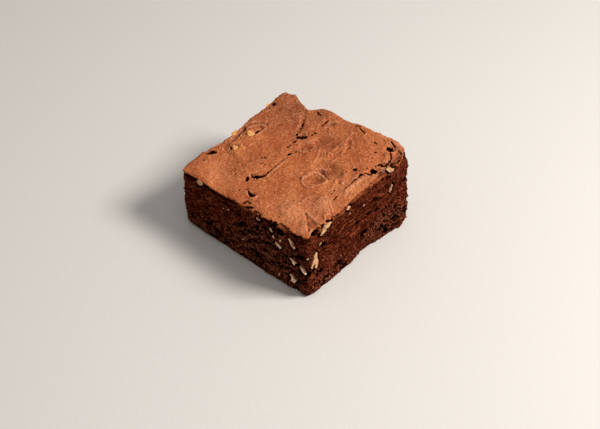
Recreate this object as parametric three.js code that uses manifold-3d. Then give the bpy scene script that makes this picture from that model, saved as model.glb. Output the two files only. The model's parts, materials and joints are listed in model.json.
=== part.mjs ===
// A chocolate brownie: one cut square of tray bake with an uneven, slanting, papery top
// and chopped nuts that show at the top and at the cut sides.
//
// Millimetres, +Z up. The origin is the middle of the flat base, +X runs along the longer
// side. The "front" is the long side at -Y and the "right" is the short side at +X.

import * as THREE from "three";
import { mergeVertices } from "three/addons/utils/BufferGeometryUtils.js";
import Module from "manifold-3d";

const wasm = await Module();
wasm.setup();

// ---------------------------------------------------------------- driving dimensions

const LENGTH = 75; // along X, from cut side to cut side
const WIDTH = 67.5; // along Y, from cut side to cut side
const HEIGHT_FRONT_LEFT = 30;
const HEIGHT_FRONT_RIGHT = 36;
const HEIGHT_BACK_RIGHT = 44.5;
const HEIGHT_BACK_LEFT = 38.5;

const HALF_LENGTH = LENGTH / 2;
const HALF_WIDTH = WIDTH / 2;

// How far the corners are rounded, seen from above.
const CORNER_RADII = { frontLeft: 1.2, frontRight: 1, backRight: 2.6, backLeft: 2.2 };

const EDGE_ROLL = 1.6; // the top's last millimetres before a cut side, which sink
const EDGE_DROP = 0.4; // and how much they sink
const BASE_ROUNDING = 2.4; // the crumbly rounding up from the base
const BASE_INSET = 0.8; // how far that rounding pulls the base in
const SIDE_WAVE = 0.35; // the cut sides aren't flat by this much
const TOP_SWELL = 0.45; // nor is the top by this much

const NUT_GAP = 0.3; // between a nut and the crumb round it
const NUT_PROUD = 0.5; // how far a nut still stands out of a cut side after the knife

// The lattice of the block: cells along X and Y on the top, and rows up the sides.
const CELLS_X = 40;
const CELLS_Y = 36;
const SIDE_ROWS = 11;

// ---------------------------------------------------------------- the block's features

// Sunken and raised places of the top: their middle, their reach and their rise.
const TOP_PLACES = [
  { x: -33, y: 30, reach: 9, rise: 1.2 }, // the lifted corner beside the notch
  { x: -14, y: 27, reach: 7, rise: -0.7 }, // the crust beyond it lies lower
  { x: 15.5, y: -5.3, reach: 4.5, rise: -1.1 }, // the burst blister's bowl
  { x: 16.3, y: 3.6, reach: 6, rise: -0.9 }, // a dent behind the blister
  { x: -2.4, y: 9.5, reach: 4.5, rise: -0.8 },
  { x: -0.7, y: 17, reach: 5, rise: -0.9 },
  { x: 28.5, y: -13, reach: 6, rise: 0.6 }, // a raised scab of crust
  { x: -30, y: -2, reach: 11, rise: 0.6 }, // the crust lifted by two nuts
  { x: 6, y: -19, reach: 10, rise: 0.5 },
  { x: -20, y: -24, reach: 9, rise: -0.5 },
];

// Pits in the top, where the crust has cracked open over a bubble.
const TOP_PITS = [
  { x: -9, y: 13.6, reach: 2.6, rise: -2.6 },
  { x: -8.6, y: -17.5, reach: 3, rise: -1.6 },
  { x: -1.3, y: -26.6, reach: 2.4, rise: -1.6 },
  { x: 33.6, y: 13.8, reach: 2.6, rise: -1.8 },
  { x: 31, y: 28.6, reach: 2.4, rise: -1.6 },
  { x: -36.6, y: -17, reach: 2.6, rise: -1.6 },
];

// The long crack splits the top at this X, from the pit near the front to the notch.
const CRACK = { x: -6, fromY: -20, toY: 6, halfWidth: 2, depth: 0.6 };

// The notch torn out of the back edge: its slope starts at fromX, is deepest at tipX and
// ends at toX, and it fades out below the top over its height.
const NOTCH = { fromX: -30, tipX: -18.5, toX: -14.5, depth: 4.6, height: 15 };

// Hollows in the cut sides, where clumps of crumb came away. One with a negative depth is a
// place where the soft side bulges out.
const FRONT_HOLLOWS = [
  { along: 7, z: 5.5, reach: 5.5, depth: 2.4 },
  { along: 16.7, z: 9.3, reach: 3.5, depth: 1.2 },
  { along: 30.5, z: 2, reach: 4.5, depth: 1.5 },
  { along: 22.8, z: 32.3, reach: 3, depth: 1.6 },
  { along: -14, z: 20, reach: 8, depth: 0.7 },
];
const RIGHT_HOLLOWS = [
  { along: 3.7, z: 12.7, reach: 4, depth: 1.8 },
  { along: 8, z: 1.5, reach: 15, depth: 1.7 },
  { along: -22.5, z: 24.8, reach: 3.5, depth: 1.2 },
  { along: -28.3, z: 36, reach: 3.5, depth: 1.6 },
  { along: 24, z: 42, reach: 20, depth: -1.1 },
];
const LEFT_HOLLOWS = [
  { along: -24, z: 31, reach: 17, depth: -2 },
  { along: 11, z: 37, reach: 9, depth: -0.7 },
  { along: -3, z: 33, reach: 5, depth: 0.8 },
];
const BACK_HOLLOWS = [
  { along: 36, z: 20, reach: 24, depth: -1 },
  { along: 0, z: 14, reach: 9, depth: 0.8 },
];

// ---------------------------------------------------------------- the nuts

// Chopped nuts: where the middle shows, the chunk's length, breadth and depth, and its lean.
// A nut of a side leans from upright towards +X on the front or +Y on the right; a nut of
// the top has its length along X and is turned about Z.
const FRONT_NUTS = [
  { along: -27.2, z: 28.7, length: 3.6, breadth: 2.6, depth: 3.4, lean: 80 },
  { along: 9.2, z: 30.2, length: 3.0, breadth: 2.2, depth: 3.0, lean: -72 },
  { along: 28.8, z: 28.4, length: 6.0, breadth: 2.4, depth: 3.6, lean: -48 },
  { along: 20.8, z: 22.5, length: 3.8, breadth: 2.4, depth: 3.4, lean: -66 },
  { along: 29.5, z: 17.9, length: 4.2, breadth: 2.4, depth: 3.4, lean: -60 },
  { along: 34.6, z: 16.4, length: 4.4, breadth: 1.8, depth: 3.0, lean: -58 },
  { along: 29.3, z: 7.2, length: 4.2, breadth: 3.0, depth: 3.4, lean: -35 },
];
const RIGHT_NUTS = [
  { along: -29.1, z: 20.4, length: 9.8, breadth: 3.5, depth: 4.4, lean: 11, forked: true },
  { along: -22.6, z: 34.9, length: 8.0, breadth: 2.2, depth: 3.8, lean: 74 },
  { along: -7.7, z: 36.6, length: 3.4, breadth: 1.6, depth: 2.8, lean: 62 },
  { along: 19.9, z: 41.2, length: 3.8, breadth: 1.8, depth: 3.0, lean: 70 },
  { along: 21.8, z: 29.4, length: 5.6, breadth: 2.0, depth: 3.0, lean: 38 },
];
const TOP_NUTS = [
  { x: -29.3, y: 1.4, length: 5.0, breadth: 3.0, depth: 3.2, turn: 10 },
  { x: -29.0, y: -8.8, length: 4.2, breadth: 2.8, depth: 3.0, turn: 35 },
];

// How far an uncut nut would stand out of a cut side, and how far one stands out of the crust.
const SIDE_NUT_SHOWING = 0.75;
const TOP_NUT_SHOWING = 0.8;

// ---------------------------------------------------------------- materials

const crumbMaterial = () => new THREE.MeshStandardMaterial({ color: 0xa05a38, roughness: 0.75, metalness: 0 });
const nutMaterial = () => new THREE.MeshStandardMaterial({ color: 0xd9b07c, roughness: 0.6, metalness: 0 });

// ---------------------------------------------------------------- shape functions

// 1 at the middle, falling smoothly to 0 at the reach.
function hump(distance, reach) {
  if (distance >= reach) {
    return 0;
  }
  return 0.5 + 0.5 * Math.cos((Math.PI * distance) / reach);
}

// 0 to 1 as the value goes from one end to the other.
function ramp(value, from, to) {
  return THREE.MathUtils.clamp((value - from) / (to - from), 0, 1);
}

// A gentle, repeatable unevenness between -1 and 1 over a few centimetres.
function unevenness(a, b, phase) {
  const broad = Math.sin(a * 0.19 + phase) * Math.cos(b * 0.16 - phase);
  const fine = Math.sin(a * 0.37 - 2 * phase) * Math.sin(b * 0.41 + phase);
  return 0.6 * broad + 0.4 * fine;
}

// How far a place of the plan is from the nearest cut side.
function edgeDistance(x, y) {
  return Math.min(HALF_LENGTH - Math.abs(x), HALF_WIDTH - Math.abs(y));
}

// The height of the top over a place of the plan.
function topHeight(x, y) {
  const right = ramp(x, -HALF_LENGTH, HALF_LENGTH);
  const back = ramp(y, -HALF_WIDTH, HALF_WIDTH);
  const frontEdge = THREE.MathUtils.lerp(HEIGHT_FRONT_LEFT, HEIGHT_FRONT_RIGHT, right);
  const backEdge = THREE.MathUtils.lerp(HEIGHT_BACK_LEFT, HEIGHT_BACK_RIGHT, right);
  let height = THREE.MathUtils.lerp(frontEdge, backEdge, back);
  height += TOP_SWELL * unevenness(x, y, 0.8);
  for (const place of [...TOP_PLACES, ...TOP_PITS]) {
    height += place.rise * hump(Math.hypot(x - place.x, y - place.y), place.reach);
  }
  const alongCrack = ramp(y, CRACK.fromY, CRACK.fromY + 4) * ramp(y, CRACK.toY, CRACK.toY - 4);
  height -= CRACK.depth * alongCrack * hump(Math.abs(x - CRACK.x), CRACK.halfWidth);
  height -= EDGE_DROP * (1 - ramp(edgeDistance(x, y), 0, EDGE_ROLL)) ** 2;
  return height;
}

// How far a cut side is pushed in at a place: its hollows, and the rounding at the base.
function sidePush(hollows, along, z) {
  let push = BASE_INSET * (1 - ramp(z, 0, BASE_ROUNDING)) ** 2;
  for (const hollow of hollows) {
    push += hollow.depth * hump(Math.hypot(along - hollow.along, z - hollow.z), hollow.reach);
  }
  return push;
}

// How far the notch cuts into the back edge at a place of it.
function notchPush(x, z, top) {
  const slope = ramp(x, NOTCH.fromX, NOTCH.tipX) * ramp(x, NOTCH.toX, NOTCH.tipX);
  return NOTCH.depth * slope * ramp(z, top - NOTCH.height, top);
}

// The radius of the corner that a place of the plan belongs to.
function cornerRadius(x, y) {
  if (y < 0) {
    return x < 0 ? CORNER_RADII.frontLeft : CORNER_RADII.frontRight;
  }
  return x < 0 ? CORNER_RADII.backLeft : CORNER_RADII.backRight;
}

// Pulls the square corners of the plan onto their round ones.
function roundCorners(x, y) {
  const radius = cornerRadius(x, y);
  const beyondX = Math.abs(x) - (HALF_LENGTH - radius);
  const beyondY = Math.abs(y) - (HALF_WIDTH - radius);
  if (beyondX <= 0 || beyondY <= 0) {
    return [x, y];
  }
  const pull = 1 - Math.max(beyondX, beyondY) / Math.hypot(beyondX, beyondY);
  return [x - Math.sign(x) * pull * beyondX, y - Math.sign(y) * pull * beyondY];
}

// Moves a place of the plain block to where it really is. rise goes from 0 at the base to 1
// at the top. What happens at a cut side fades out inwards over a few millimetres.
function placePoint(plainX, plainY, rise) {
  const sideFade = 6;
  const [x, y] = roundCorners(plainX, plainY);
  const top = topHeight(x, y);
  const z = rise * top;
  const nearX = 1 - ramp(HALF_LENGTH - Math.abs(plainX), 0, sideFade);
  const nearY = 1 - ramp(HALF_WIDTH - Math.abs(plainY), 0, sideFade);
  const waveX = SIDE_WAVE * unevenness(y, z, plainX > 0 ? 1.7 : 4.1);
  const waveY = SIDE_WAVE * unevenness(x, z, plainY > 0 ? 5.2 : 2.9);
  const pushX = sidePush(plainX > 0 ? RIGHT_HOLLOWS : LEFT_HOLLOWS, y, z) - waveX;
  const pushY = plainY > 0
    ? sidePush(BACK_HOLLOWS, x, z) + notchPush(x, z, top) - waveY
    : sidePush(FRONT_HOLLOWS, x, z) - waveY;
  return [x - Math.sign(x) * nearX * pushX, y - Math.sign(y) * nearY * pushY, z];
}

// ---------------------------------------------------------------- the block

// The top is a grid of cells, the sides are rows under its rim, and the base closes them
// with a fan of triangles about its middle.
function blockGeometry() {
  const points = [];
  const faces = [];
  const addPoint = (x, y, z) => points.push(x, y, z) / 3 - 1;

  const plainX = (i) => (i / CELLS_X - 0.5) * LENGTH;
  const plainY = (j) => (j / CELLS_Y - 0.5) * WIDTH;
  const grid = [];
  for (let j = 0; j <= CELLS_Y; j += 1) {
    const line = [];
    for (let i = 0; i <= CELLS_X; i += 1) {
      line.push(addPoint(...placePoint(plainX(i), plainY(j), 1)));
    }
    grid.push(line);
  }
  for (let j = 0; j < CELLS_Y; j += 1) {
    for (let i = 0; i < CELLS_X; i += 1) {
      const [a, b] = [grid[j][i], grid[j][i + 1]];
      const [c, d] = [grid[j + 1][i + 1], grid[j + 1][i]];
      faces.push(a, b, c, a, c, d);
    }
  }

  // The rim runs anticlockwise seen from above.
  const rim = [];
  for (let i = 0; i < CELLS_X; i += 1) rim.push([i, 0]);
  for (let j = 0; j < CELLS_Y; j += 1) rim.push([CELLS_X, j]);
  for (let i = CELLS_X; i > 0; i -= 1) rim.push([i, CELLS_Y]);
  for (let j = CELLS_Y; j > 0; j -= 1) rim.push([0, j]);

  let above = rim.map(([i, j]) => grid[j][i]);
  for (let row = SIDE_ROWS - 1; row >= 0; row -= 1) {
    const ring = rim.map(([i, j]) => addPoint(...placePoint(plainX(i), plainY(j), row / SIDE_ROWS)));
    ring.forEach((start, index) => {
      const next = (index + 1) % ring.length;
      faces.push(start, ring[next], above[next], start, above[next], above[index]);
    });
    above = ring;
  }

  const middle = addPoint(0, 0, 0);
  above.forEach((start, index) => {
    faces.push(middle, above[(index + 1) % above.length], start);
  });

  const geometry = new THREE.BufferGeometry();
  geometry.setAttribute("position", new THREE.Float32BufferAttribute(points, 3));
  geometry.setIndex(faces);
  return geometry;
}

// ---------------------------------------------------------------- solids

function solidOf(geometry) {
  const bare = geometry.clone();
  bare.deleteAttribute("normal");
  bare.deleteAttribute("uv");
  const merged = mergeVertices(bare, 1e-4);
  return new wasm.Manifold(new wasm.Mesh({
    numProp: 3,
    vertProperties: new Float32Array(merged.attributes.position.array),
    triVerts: new Uint32Array(merged.index.array),
  }));
}

function geometryOf(solid) {
  const mesh = solid.getMesh();
  const geometry = new THREE.BufferGeometry();
  geometry.setAttribute("position", new THREE.BufferAttribute(mesh.vertProperties, mesh.numProp));
  geometry.setIndex(new THREE.BufferAttribute(mesh.triVerts, 1));
  geometry.computeVertexNormals();
  return geometry;
}

// A chopped nut: a blocky, uneven chunk with its length on Z, its breadth on X and its depth
// on Y. growth makes it larger on every side, for the pocket that it sits in.
function chunkGeometry(nut, growth) {
  const chunk = new THREE.IcosahedronGeometry(1, 1);
  const place = chunk.attributes.position;
  const blocky = (value) => Math.sign(value) * Math.abs(value) ** 0.72;
  for (let index = 0; index < place.count; index += 1) {
    const [x, y, z] = [place.getX(index), place.getY(index), place.getZ(index)].map(blocky);
    const half = 0.46 + 0.09 * unevenness(8 * x + 5 * nut.length, 9 * z + 7 * y, nut.breadth);
    const grow = growth / Math.hypot(x, y, z);
    place.setXYZ(
      index,
      x * (half * nut.breadth + grow),
      y * (half * nut.depth + grow),
      z * (half * nut.length + grow),
    );
  }
  return chunk;
}

// The wedge between the two prongs at the foot of a forked nut.
const FORK_DEPTH = 30; // enough to go right through any nut
function forkGeometry(nut) {
  const wedge = new THREE.ConeGeometry(nut.breadth * 0.3, nut.length * 0.5, 4);
  wedge.rotateY(Math.PI / 4);
  wedge.rotateX(Math.PI / 2);
  wedge.scale(1, FORK_DEPTH / nut.breadth, 1);
  wedge.translate(0, 0, -nut.length * 0.4);
  return wedge;
}

// Each side of the block that nuts show at has a frame of its own at each nut: its origin is
// on the surface, +Y goes straight into the crumb and, on the cut sides, +Z is up.
const QUARTER_TURN = Math.PI / 2;

function frontFrame(nut) {
  const y = -HALF_WIDTH + sidePush(FRONT_HOLLOWS, nut.along, nut.z);
  return new THREE.Matrix4().makeTranslation(nut.along, y, nut.z);
}

function rightFrame(nut) {
  const x = HALF_LENGTH - sidePush(RIGHT_HOLLOWS, nut.along, nut.z);
  const turn = new THREE.Matrix4().makeRotationZ(QUARTER_TURN);
  return new THREE.Matrix4().makeTranslation(x, nut.along, nut.z).multiply(turn);
}

function topFrame(nut) {
  const turn = new THREE.Matrix4().makeRotationZ(THREE.MathUtils.degToRad(nut.turn) - QUARTER_TURN);
  const lieDown = new THREE.Matrix4().makeRotationX(-QUARTER_TURN);
  const place = new THREE.Matrix4().makeTranslation(nut.x, nut.y, topHeight(nut.x, nut.y));
  return place.multiply(turn).multiply(lieDown);
}

// How a nut leans and how deep it sits in the frame of its side.
function seat(nut, showing) {
  const lean = new THREE.Matrix4().makeRotationY(THREE.MathUtils.degToRad(nut.lean ?? 0));
  return new THREE.Matrix4().makeTranslation(0, nut.depth / 2 - showing, 0).multiply(lean);
}

// The knife that cut the brownie went through its nuts too: what is left is all that lies
// within a large box, whose face is this far outside the surface.
function knifeGeometry(proud) {
  const size = 4 * LENGTH;
  return new THREE.BoxGeometry(size, size, size).translate(0, size / 2 - proud, 0);
}

// ---------------------------------------------------------------- the brownie

const nutRows = [
  { name: "nut_front", nuts: FRONT_NUTS, frame: frontFrame, showing: SIDE_NUT_SHOWING, proud: NUT_PROUD },
  { name: "nut_right", nuts: RIGHT_NUTS, frame: rightFrame, showing: SIDE_NUT_SHOWING, proud: NUT_PROUD },
  { name: "nut_top", nuts: TOP_NUTS, frame: topFrame, showing: TOP_NUT_SHOWING, proud: TOP_NUT_SHOWING },
];

const brownie = new THREE.Group();
let block = solidOf(blockGeometry());

for (const { name, nuts, frame, showing, proud } of nutRows) {
  nuts.forEach((nut, index) => {
    const side = frame(nut);
    const matrix = side.clone().multiply(seat(nut, showing));
    const knife = solidOf(knifeGeometry(proud).applyMatrix4(side));
    let chunk = solidOf(chunkGeometry(nut, 0).applyMatrix4(matrix)).intersect(knife);
    if (nut.forked) {
      chunk = chunk.subtract(solidOf(forkGeometry(nut).applyMatrix4(matrix)));
    }
    block = block.subtract(solidOf(chunkGeometry(nut, NUT_GAP).applyMatrix4(matrix)));
    const mesh = new THREE.Mesh(geometryOf(chunk), nutMaterial());
    mesh.name = `${name}_${index + 1}`;
    brownie.add(mesh);
  });
}

const body = new THREE.Mesh(geometryOf(block), crumbMaterial());
body.name = "brownie";
brownie.add(body);

export default brownie;
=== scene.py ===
"""The looks of a chocolate brownie: a cut square with a papery baked crust, an open dark
crumb at its sides, and chopped nuts. Metres, +Z up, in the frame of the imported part."""

import json
import math
import random

import bpy
import numpy as np
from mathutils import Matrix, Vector
from mathutils.noise import noise as solid_noise

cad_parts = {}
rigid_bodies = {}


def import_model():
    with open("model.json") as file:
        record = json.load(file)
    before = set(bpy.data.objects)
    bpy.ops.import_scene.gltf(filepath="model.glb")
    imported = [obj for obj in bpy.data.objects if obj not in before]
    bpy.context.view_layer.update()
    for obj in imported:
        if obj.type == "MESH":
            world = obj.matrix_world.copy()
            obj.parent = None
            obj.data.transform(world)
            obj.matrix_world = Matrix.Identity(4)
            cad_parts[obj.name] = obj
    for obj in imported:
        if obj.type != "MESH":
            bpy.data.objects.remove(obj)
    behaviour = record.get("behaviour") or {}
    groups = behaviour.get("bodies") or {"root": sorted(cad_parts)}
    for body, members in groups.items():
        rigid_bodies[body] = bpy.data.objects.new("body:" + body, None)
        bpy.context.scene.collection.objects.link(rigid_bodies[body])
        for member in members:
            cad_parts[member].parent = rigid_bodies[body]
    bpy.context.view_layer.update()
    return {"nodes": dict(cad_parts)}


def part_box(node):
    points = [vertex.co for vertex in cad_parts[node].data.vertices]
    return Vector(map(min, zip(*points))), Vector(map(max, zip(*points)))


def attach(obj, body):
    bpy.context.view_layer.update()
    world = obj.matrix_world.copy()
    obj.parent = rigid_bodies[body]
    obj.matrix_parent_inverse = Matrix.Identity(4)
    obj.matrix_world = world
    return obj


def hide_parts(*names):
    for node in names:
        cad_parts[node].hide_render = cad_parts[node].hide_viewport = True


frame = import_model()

MM = 0.001

# ------------ sizes from the frame

LOW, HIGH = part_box("brownie")
MIDDLE = (LOW + HIGH) / 2
HALF_X = (HIGH.x - LOW.x) / 2
HALF_Y = (HIGH.y - LOW.y) / 2
TOP_Z = HIGH.z
TOP_NUTS = sorted(name for name in frame["nodes"] if name.startswith("nut_top"))
SIDE_NUTS = sorted(name for name in frame["nodes"] if name.startswith(("nut_front", "nut_right")))
OUTWARD = {"front": Vector((0, -1, 0)), "back": Vector((0, 1, 0)), "left": Vector((-1, 0, 0)),
           "right": Vector((1, 0, 0)), "top": Vector((0, 0, 1))}

CRUST_THICKNESS = 0.6 * MM
CRUST_OVERHANG = 0.25 * MM
CRUST_SAG = 2.6 * MM  # how far the crust may hang below the plane of the top
CRUST_GAP = 0.12 * MM
CRUST_CELL = 0.34 * MM
CRUST_FORM_CELL = 0.5 * MM
CRUMB_CELL = 0.31 * MM
TRIANGLE_LIMIT = 195_000
WEIGHT_STEPS = 20
HIDDEN_THINNING = 0.85  # the share of the hidden faces that goes
FAR = 9.0  # stands for a distance that is out of reach

# The top, and the beds of the crumb under it, rise towards the right and the back.
TOP_TILT_X = math.radians(4.6)
TOP_TILT_Y = math.radians(7.2)

# ------------ small modelling tools


def only(piece):
    """Leaves one object selected and active."""
    bpy.ops.object.select_all(action="DESELECT")
    piece.select_set(True)
    bpy.context.view_layer.objects.active = piece


def mode(kind):
    bpy.ops.object.mode_set(mode=kind)


def named(name):
    """Names the object that an operator has just made."""
    piece = bpy.context.object
    piece.name = name
    piece.data.name = name
    return piece


def settle(piece):
    """Puts an object's place, turn and size into its mesh."""
    only(piece)
    bpy.ops.object.transform_apply(location=True, rotation=True, scale=True)


def modify(piece, kind, **settings):
    """Adds one modifier and applies it."""
    only(piece)
    modifier = piece.modifiers.new(kind.title(), kind)
    for key, value in settings.items():
        setattr(modifier, key, value)
    bpy.ops.object.modifier_apply(modifier=modifier.name)


def join(pieces, name):
    """Joins objects into the first of them."""
    only(pieces[0])
    for piece in pieces:
        piece.select_set(True)
    bpy.ops.object.join()
    return named(name)


def copy_of(piece, name):
    """Copies an object with a mesh of its own."""
    only(piece)
    bpy.ops.object.duplicate(linked=False)
    return named(name)


def copy_of_node(node, name):
    """Copies a CAD node, with its loose triangles merged into one closed skin."""
    twin = copy_of(frame["nodes"][node], name)
    bpy.ops.object.parent_clear(type="CLEAR_KEEP_TRANSFORM")
    settle(twin)
    mode("EDIT")
    bpy.ops.mesh.select_all(action="SELECT")
    bpy.ops.mesh.remove_doubles(threshold=0.001 * MM)
    mode("OBJECT")
    twin.data.materials.clear()
    return twin


def remove(piece):
    only(piece)
    bpy.ops.object.delete()


def numbers_of(items, key, width):
    """Reads one property of every vertex or face into rows of numbers."""
    flat = np.empty(len(items) * width, dtype=np.float32)
    items.foreach_get(key, flat)
    return flat.reshape(-1, width)


def points_of(piece):
    return numbers_of(piece.data.vertices, "co", 3)


def faces_of(faces):
    """The centers and the normals of faces."""
    return numbers_of(faces, "center", 3), numbers_of(faces, "normal", 3)


def edit_chosen(piece, chosen, kind="VERT"):
    """Selects the chosen vertices or faces and opens the piece in edit mode."""
    only(piece)
    mode("EDIT")
    bpy.ops.mesh.select_mode(type=kind)
    bpy.ops.mesh.select_all(action="DESELECT")
    mode("OBJECT")
    items = piece.data.vertices if kind == "VERT" else piece.data.polygons
    items.foreach_set("select", np.ascontiguousarray(chosen, dtype=bool))
    mode("EDIT")


def delete_chosen(piece, chosen, kind="VERT"):
    edit_chosen(piece, chosen, kind)
    bpy.ops.mesh.delete(type=kind)
    mode("OBJECT")


def move_chosen(piece, chosen, move, reach=0.0, falloff="SMOOTH", kind="VERT"):
    """Moves the chosen vertices or faces. What lies within the reach follows, fading out."""
    edit_chosen(piece, chosen, kind)
    if reach:
        bpy.ops.transform.translate(
            value=move, use_proportional_edit=True,
            proportional_edit_falloff=falloff, proportional_size=reach)
    else:
        bpy.ops.transform.translate(value=move)
    mode("OBJECT")


def drop_on(piece, target, up_too=False, group=""):
    """Projects a mesh straight down on to another, or up as well."""
    modify(piece, "SHRINKWRAP", target=target, wrap_method="PROJECT", use_project_z=True,
           use_negative_direction=True, use_positive_direction=up_too, vertex_group=group)


def voxel_remesh(piece, cell):
    only(piece)
    piece.data.remesh_voxel_size = cell
    bpy.ops.object.voxel_remesh()


def weigh(piece, name, weights):
    """Makes a vertex group from one weight for each vertex, in even steps."""
    group = piece.vertex_groups.new(name=name)
    steps = np.clip(np.round(np.asarray(weights) * WEIGHT_STEPS), 0, WEIGHT_STEPS).astype(int)
    for step in range(1, WEIGHT_STEPS + 1):
        members = np.nonzero(steps == step)[0].tolist()
        if members:
            group.add(members, step / WEIGHT_STEPS, "REPLACE")
    return name


def triangles_of(piece):
    return int(sum(numbers_of(piece.data.polygons, "loop_total", 1)[:, 0] - 2))


def rim_of(piece):
    """Which vertices lie on an open edge."""
    only(piece)
    mode("EDIT")
    bpy.ops.mesh.select_mode(type="VERT")
    bpy.ops.mesh.select_all(action="DESELECT")
    bpy.ops.mesh.select_non_manifold(
        use_wire=False, use_boundary=True, use_multi_face=False, use_non_contiguous=False, use_verts=False)
    mode("OBJECT")
    rim = np.empty(len(piece.data.vertices), dtype=bool)
    piece.data.vertices.foreach_get("select", rim)
    return rim


def smooth_rim(piece, iterations):
    """Evens out the steps that deleting cells of a grid has left along its open edges."""
    group = weigh(piece, "rim", rim_of(piece))
    modify(piece, "SMOOTH", factor=0.5, iterations=iterations, vertex_group=group)


def stored(piece, name, values):
    """Stores a number at each vertex, for a material to read."""
    attribute = piece.data.attributes.new(name, "FLOAT", "POINT")
    attribute.data.foreach_set("value", np.asarray(values, dtype=np.float32))


def thin_to_limit(piece):
    """Collapses the flattest parts of a mesh until it is under the triangle limit."""
    ratio = TRIANGLE_LIMIT / triangles_of(piece)
    if ratio < 1:
        modify(piece, "DECIMATE", ratio=ratio)


def thin_hidden(piece, hidden):
    """Thins the part of a mesh that nothing shows, so that the rest may stay fine."""
    group = weigh(piece, "hidden", hidden)
    modify(piece, "DECIMATE", ratio=1 - HIDDEN_THINNING * float(np.mean(hidden)), vertex_group=group)


def shade_smooth(piece):
    only(piece)
    bpy.ops.object.shade_smooth()


def shade_base_flat(piece):
    """Keeps the flat base from being shaded as if it curved up into the sides."""
    normals = numbers_of(piece.data.polygons, "normal", 3)
    edit_chosen(piece, normals[:, 2] < -0.98, "FACE")
    bpy.ops.mesh.faces_shade_flat()
    mode("OBJECT")


# ------------ textures that displace


def grain_axes(name, stretch):
    """Axes for a texture that lies in beds along the slanting top: stretch is how much
    longer than high its features are."""
    bpy.ops.object.empty_add(type="PLAIN_AXES")
    axes = bpy.context.object
    axes.name = name
    axes.rotation_euler = (TOP_TILT_Y, -TOP_TILT_X, 0)
    axes.scale = (stretch, stretch, 1)
    bpy.context.view_layer.update()
    return axes


def texture(name, kind, size, **settings):
    """A procedural texture whose features are about this large."""
    made = bpy.data.textures.new(name, kind)
    made.noise_scale = size
    for key, value in settings.items():
        setattr(made, key, value)
    return made


def clouds(name, size, detail):
    """Soft clouds, with their size in millimetres."""
    return texture(name, "CLOUDS", size * MM, noise_depth=detail)


def ramp(made, *stops):
    """Gives a texture a grey ramp with stops of (place, value)."""
    made.use_color_ramp = True
    elements = made.color_ramp.elements
    while len(elements) < len(stops):
        elements.new(0.5)
    for element, (place, value) in zip(elements, stops):
        element.position = place
        element.color = (value, value, value, 1)
    return made


def displace(piece, made, strength, group="", middle=0.5, direction="NORMAL", axes=None):
    """Moves a surface by a texture, or evenly. The texture lies along the axes, if given."""
    place = {"texture_coords": "OBJECT" if axes else "LOCAL", "texture_coords_object": axes}
    modify(piece, "DISPLACE", texture=made, strength=strength, mid_level=middle, direction=direction,
           vertex_group=group, **place)


# ------------ materials


def srgb(code):
    """Turns an sRGB hex colour to linear."""
    parts = [int(code[i:i + 2], 16) / 255 for i in (1, 3, 5)]
    return [p / 12.92 if p <= 0.04045 else ((p + 0.055) / 1.055) ** 2.4 for p in parts] + [1.0]


def add_node(tree, kind, inputs=None, output=0, **settings):
    """Adds a node with its settings, and its inputs as values or as links. Gives one of its
    outputs, by number or name, or nothing where it has none."""
    made = tree.nodes.new(kind)
    for key, value in settings.items():
        setattr(made, key, value)
    for key, value in (inputs or {}).items():
        if isinstance(value, bpy.types.NodeSocket):
            tree.links.new(value, made.inputs[key])
        else:
            made.inputs[key].default_value = value
    return made.outputs[output] if made.outputs else None


def per_mm(size):
    """The scale of a pattern whose features are this many millimetres apart."""
    return 1 / (size * MM)


def coated(tree, color, *coats):
    """Lays coats over a colour. Each has a pattern, the two values of it between which the
    coat fades in, how much of it shows at most, and its own colour, plain or coated too."""
    for pattern, low, high, most, coat in coats:
        fade = {"Value": pattern, "From Min": low, "From Max": high, "To Max": most}
        share = add_node(tree, "ShaderNodeMapRange", fade)
        coat = srgb(coat) if isinstance(coat, str) else coat
        color = add_node(tree, "ShaderNodeMix", {0: share, 6: color, 7: coat}, 2, data_type="RGBA")
    return color


def new_material(name):
    material = bpy.data.materials.new(name)
    material.use_nodes = True
    tree = material.node_tree
    tree.nodes.clear()
    place = add_node(tree, "ShaderNodeTexCoord", output="Object")
    return material, tree, place


def finish_material(tree, color, normal, roughness, **shader):
    settings = {key.replace("_", " "): value for key, value in shader.items()}
    inputs = {"Base Color": color, "Normal": normal, "Roughness": roughness} | settings
    surface = add_node(tree, "ShaderNodeBsdfPrincipled", inputs)
    add_node(tree, "ShaderNodeOutputMaterial", {"Surface": surface})


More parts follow.
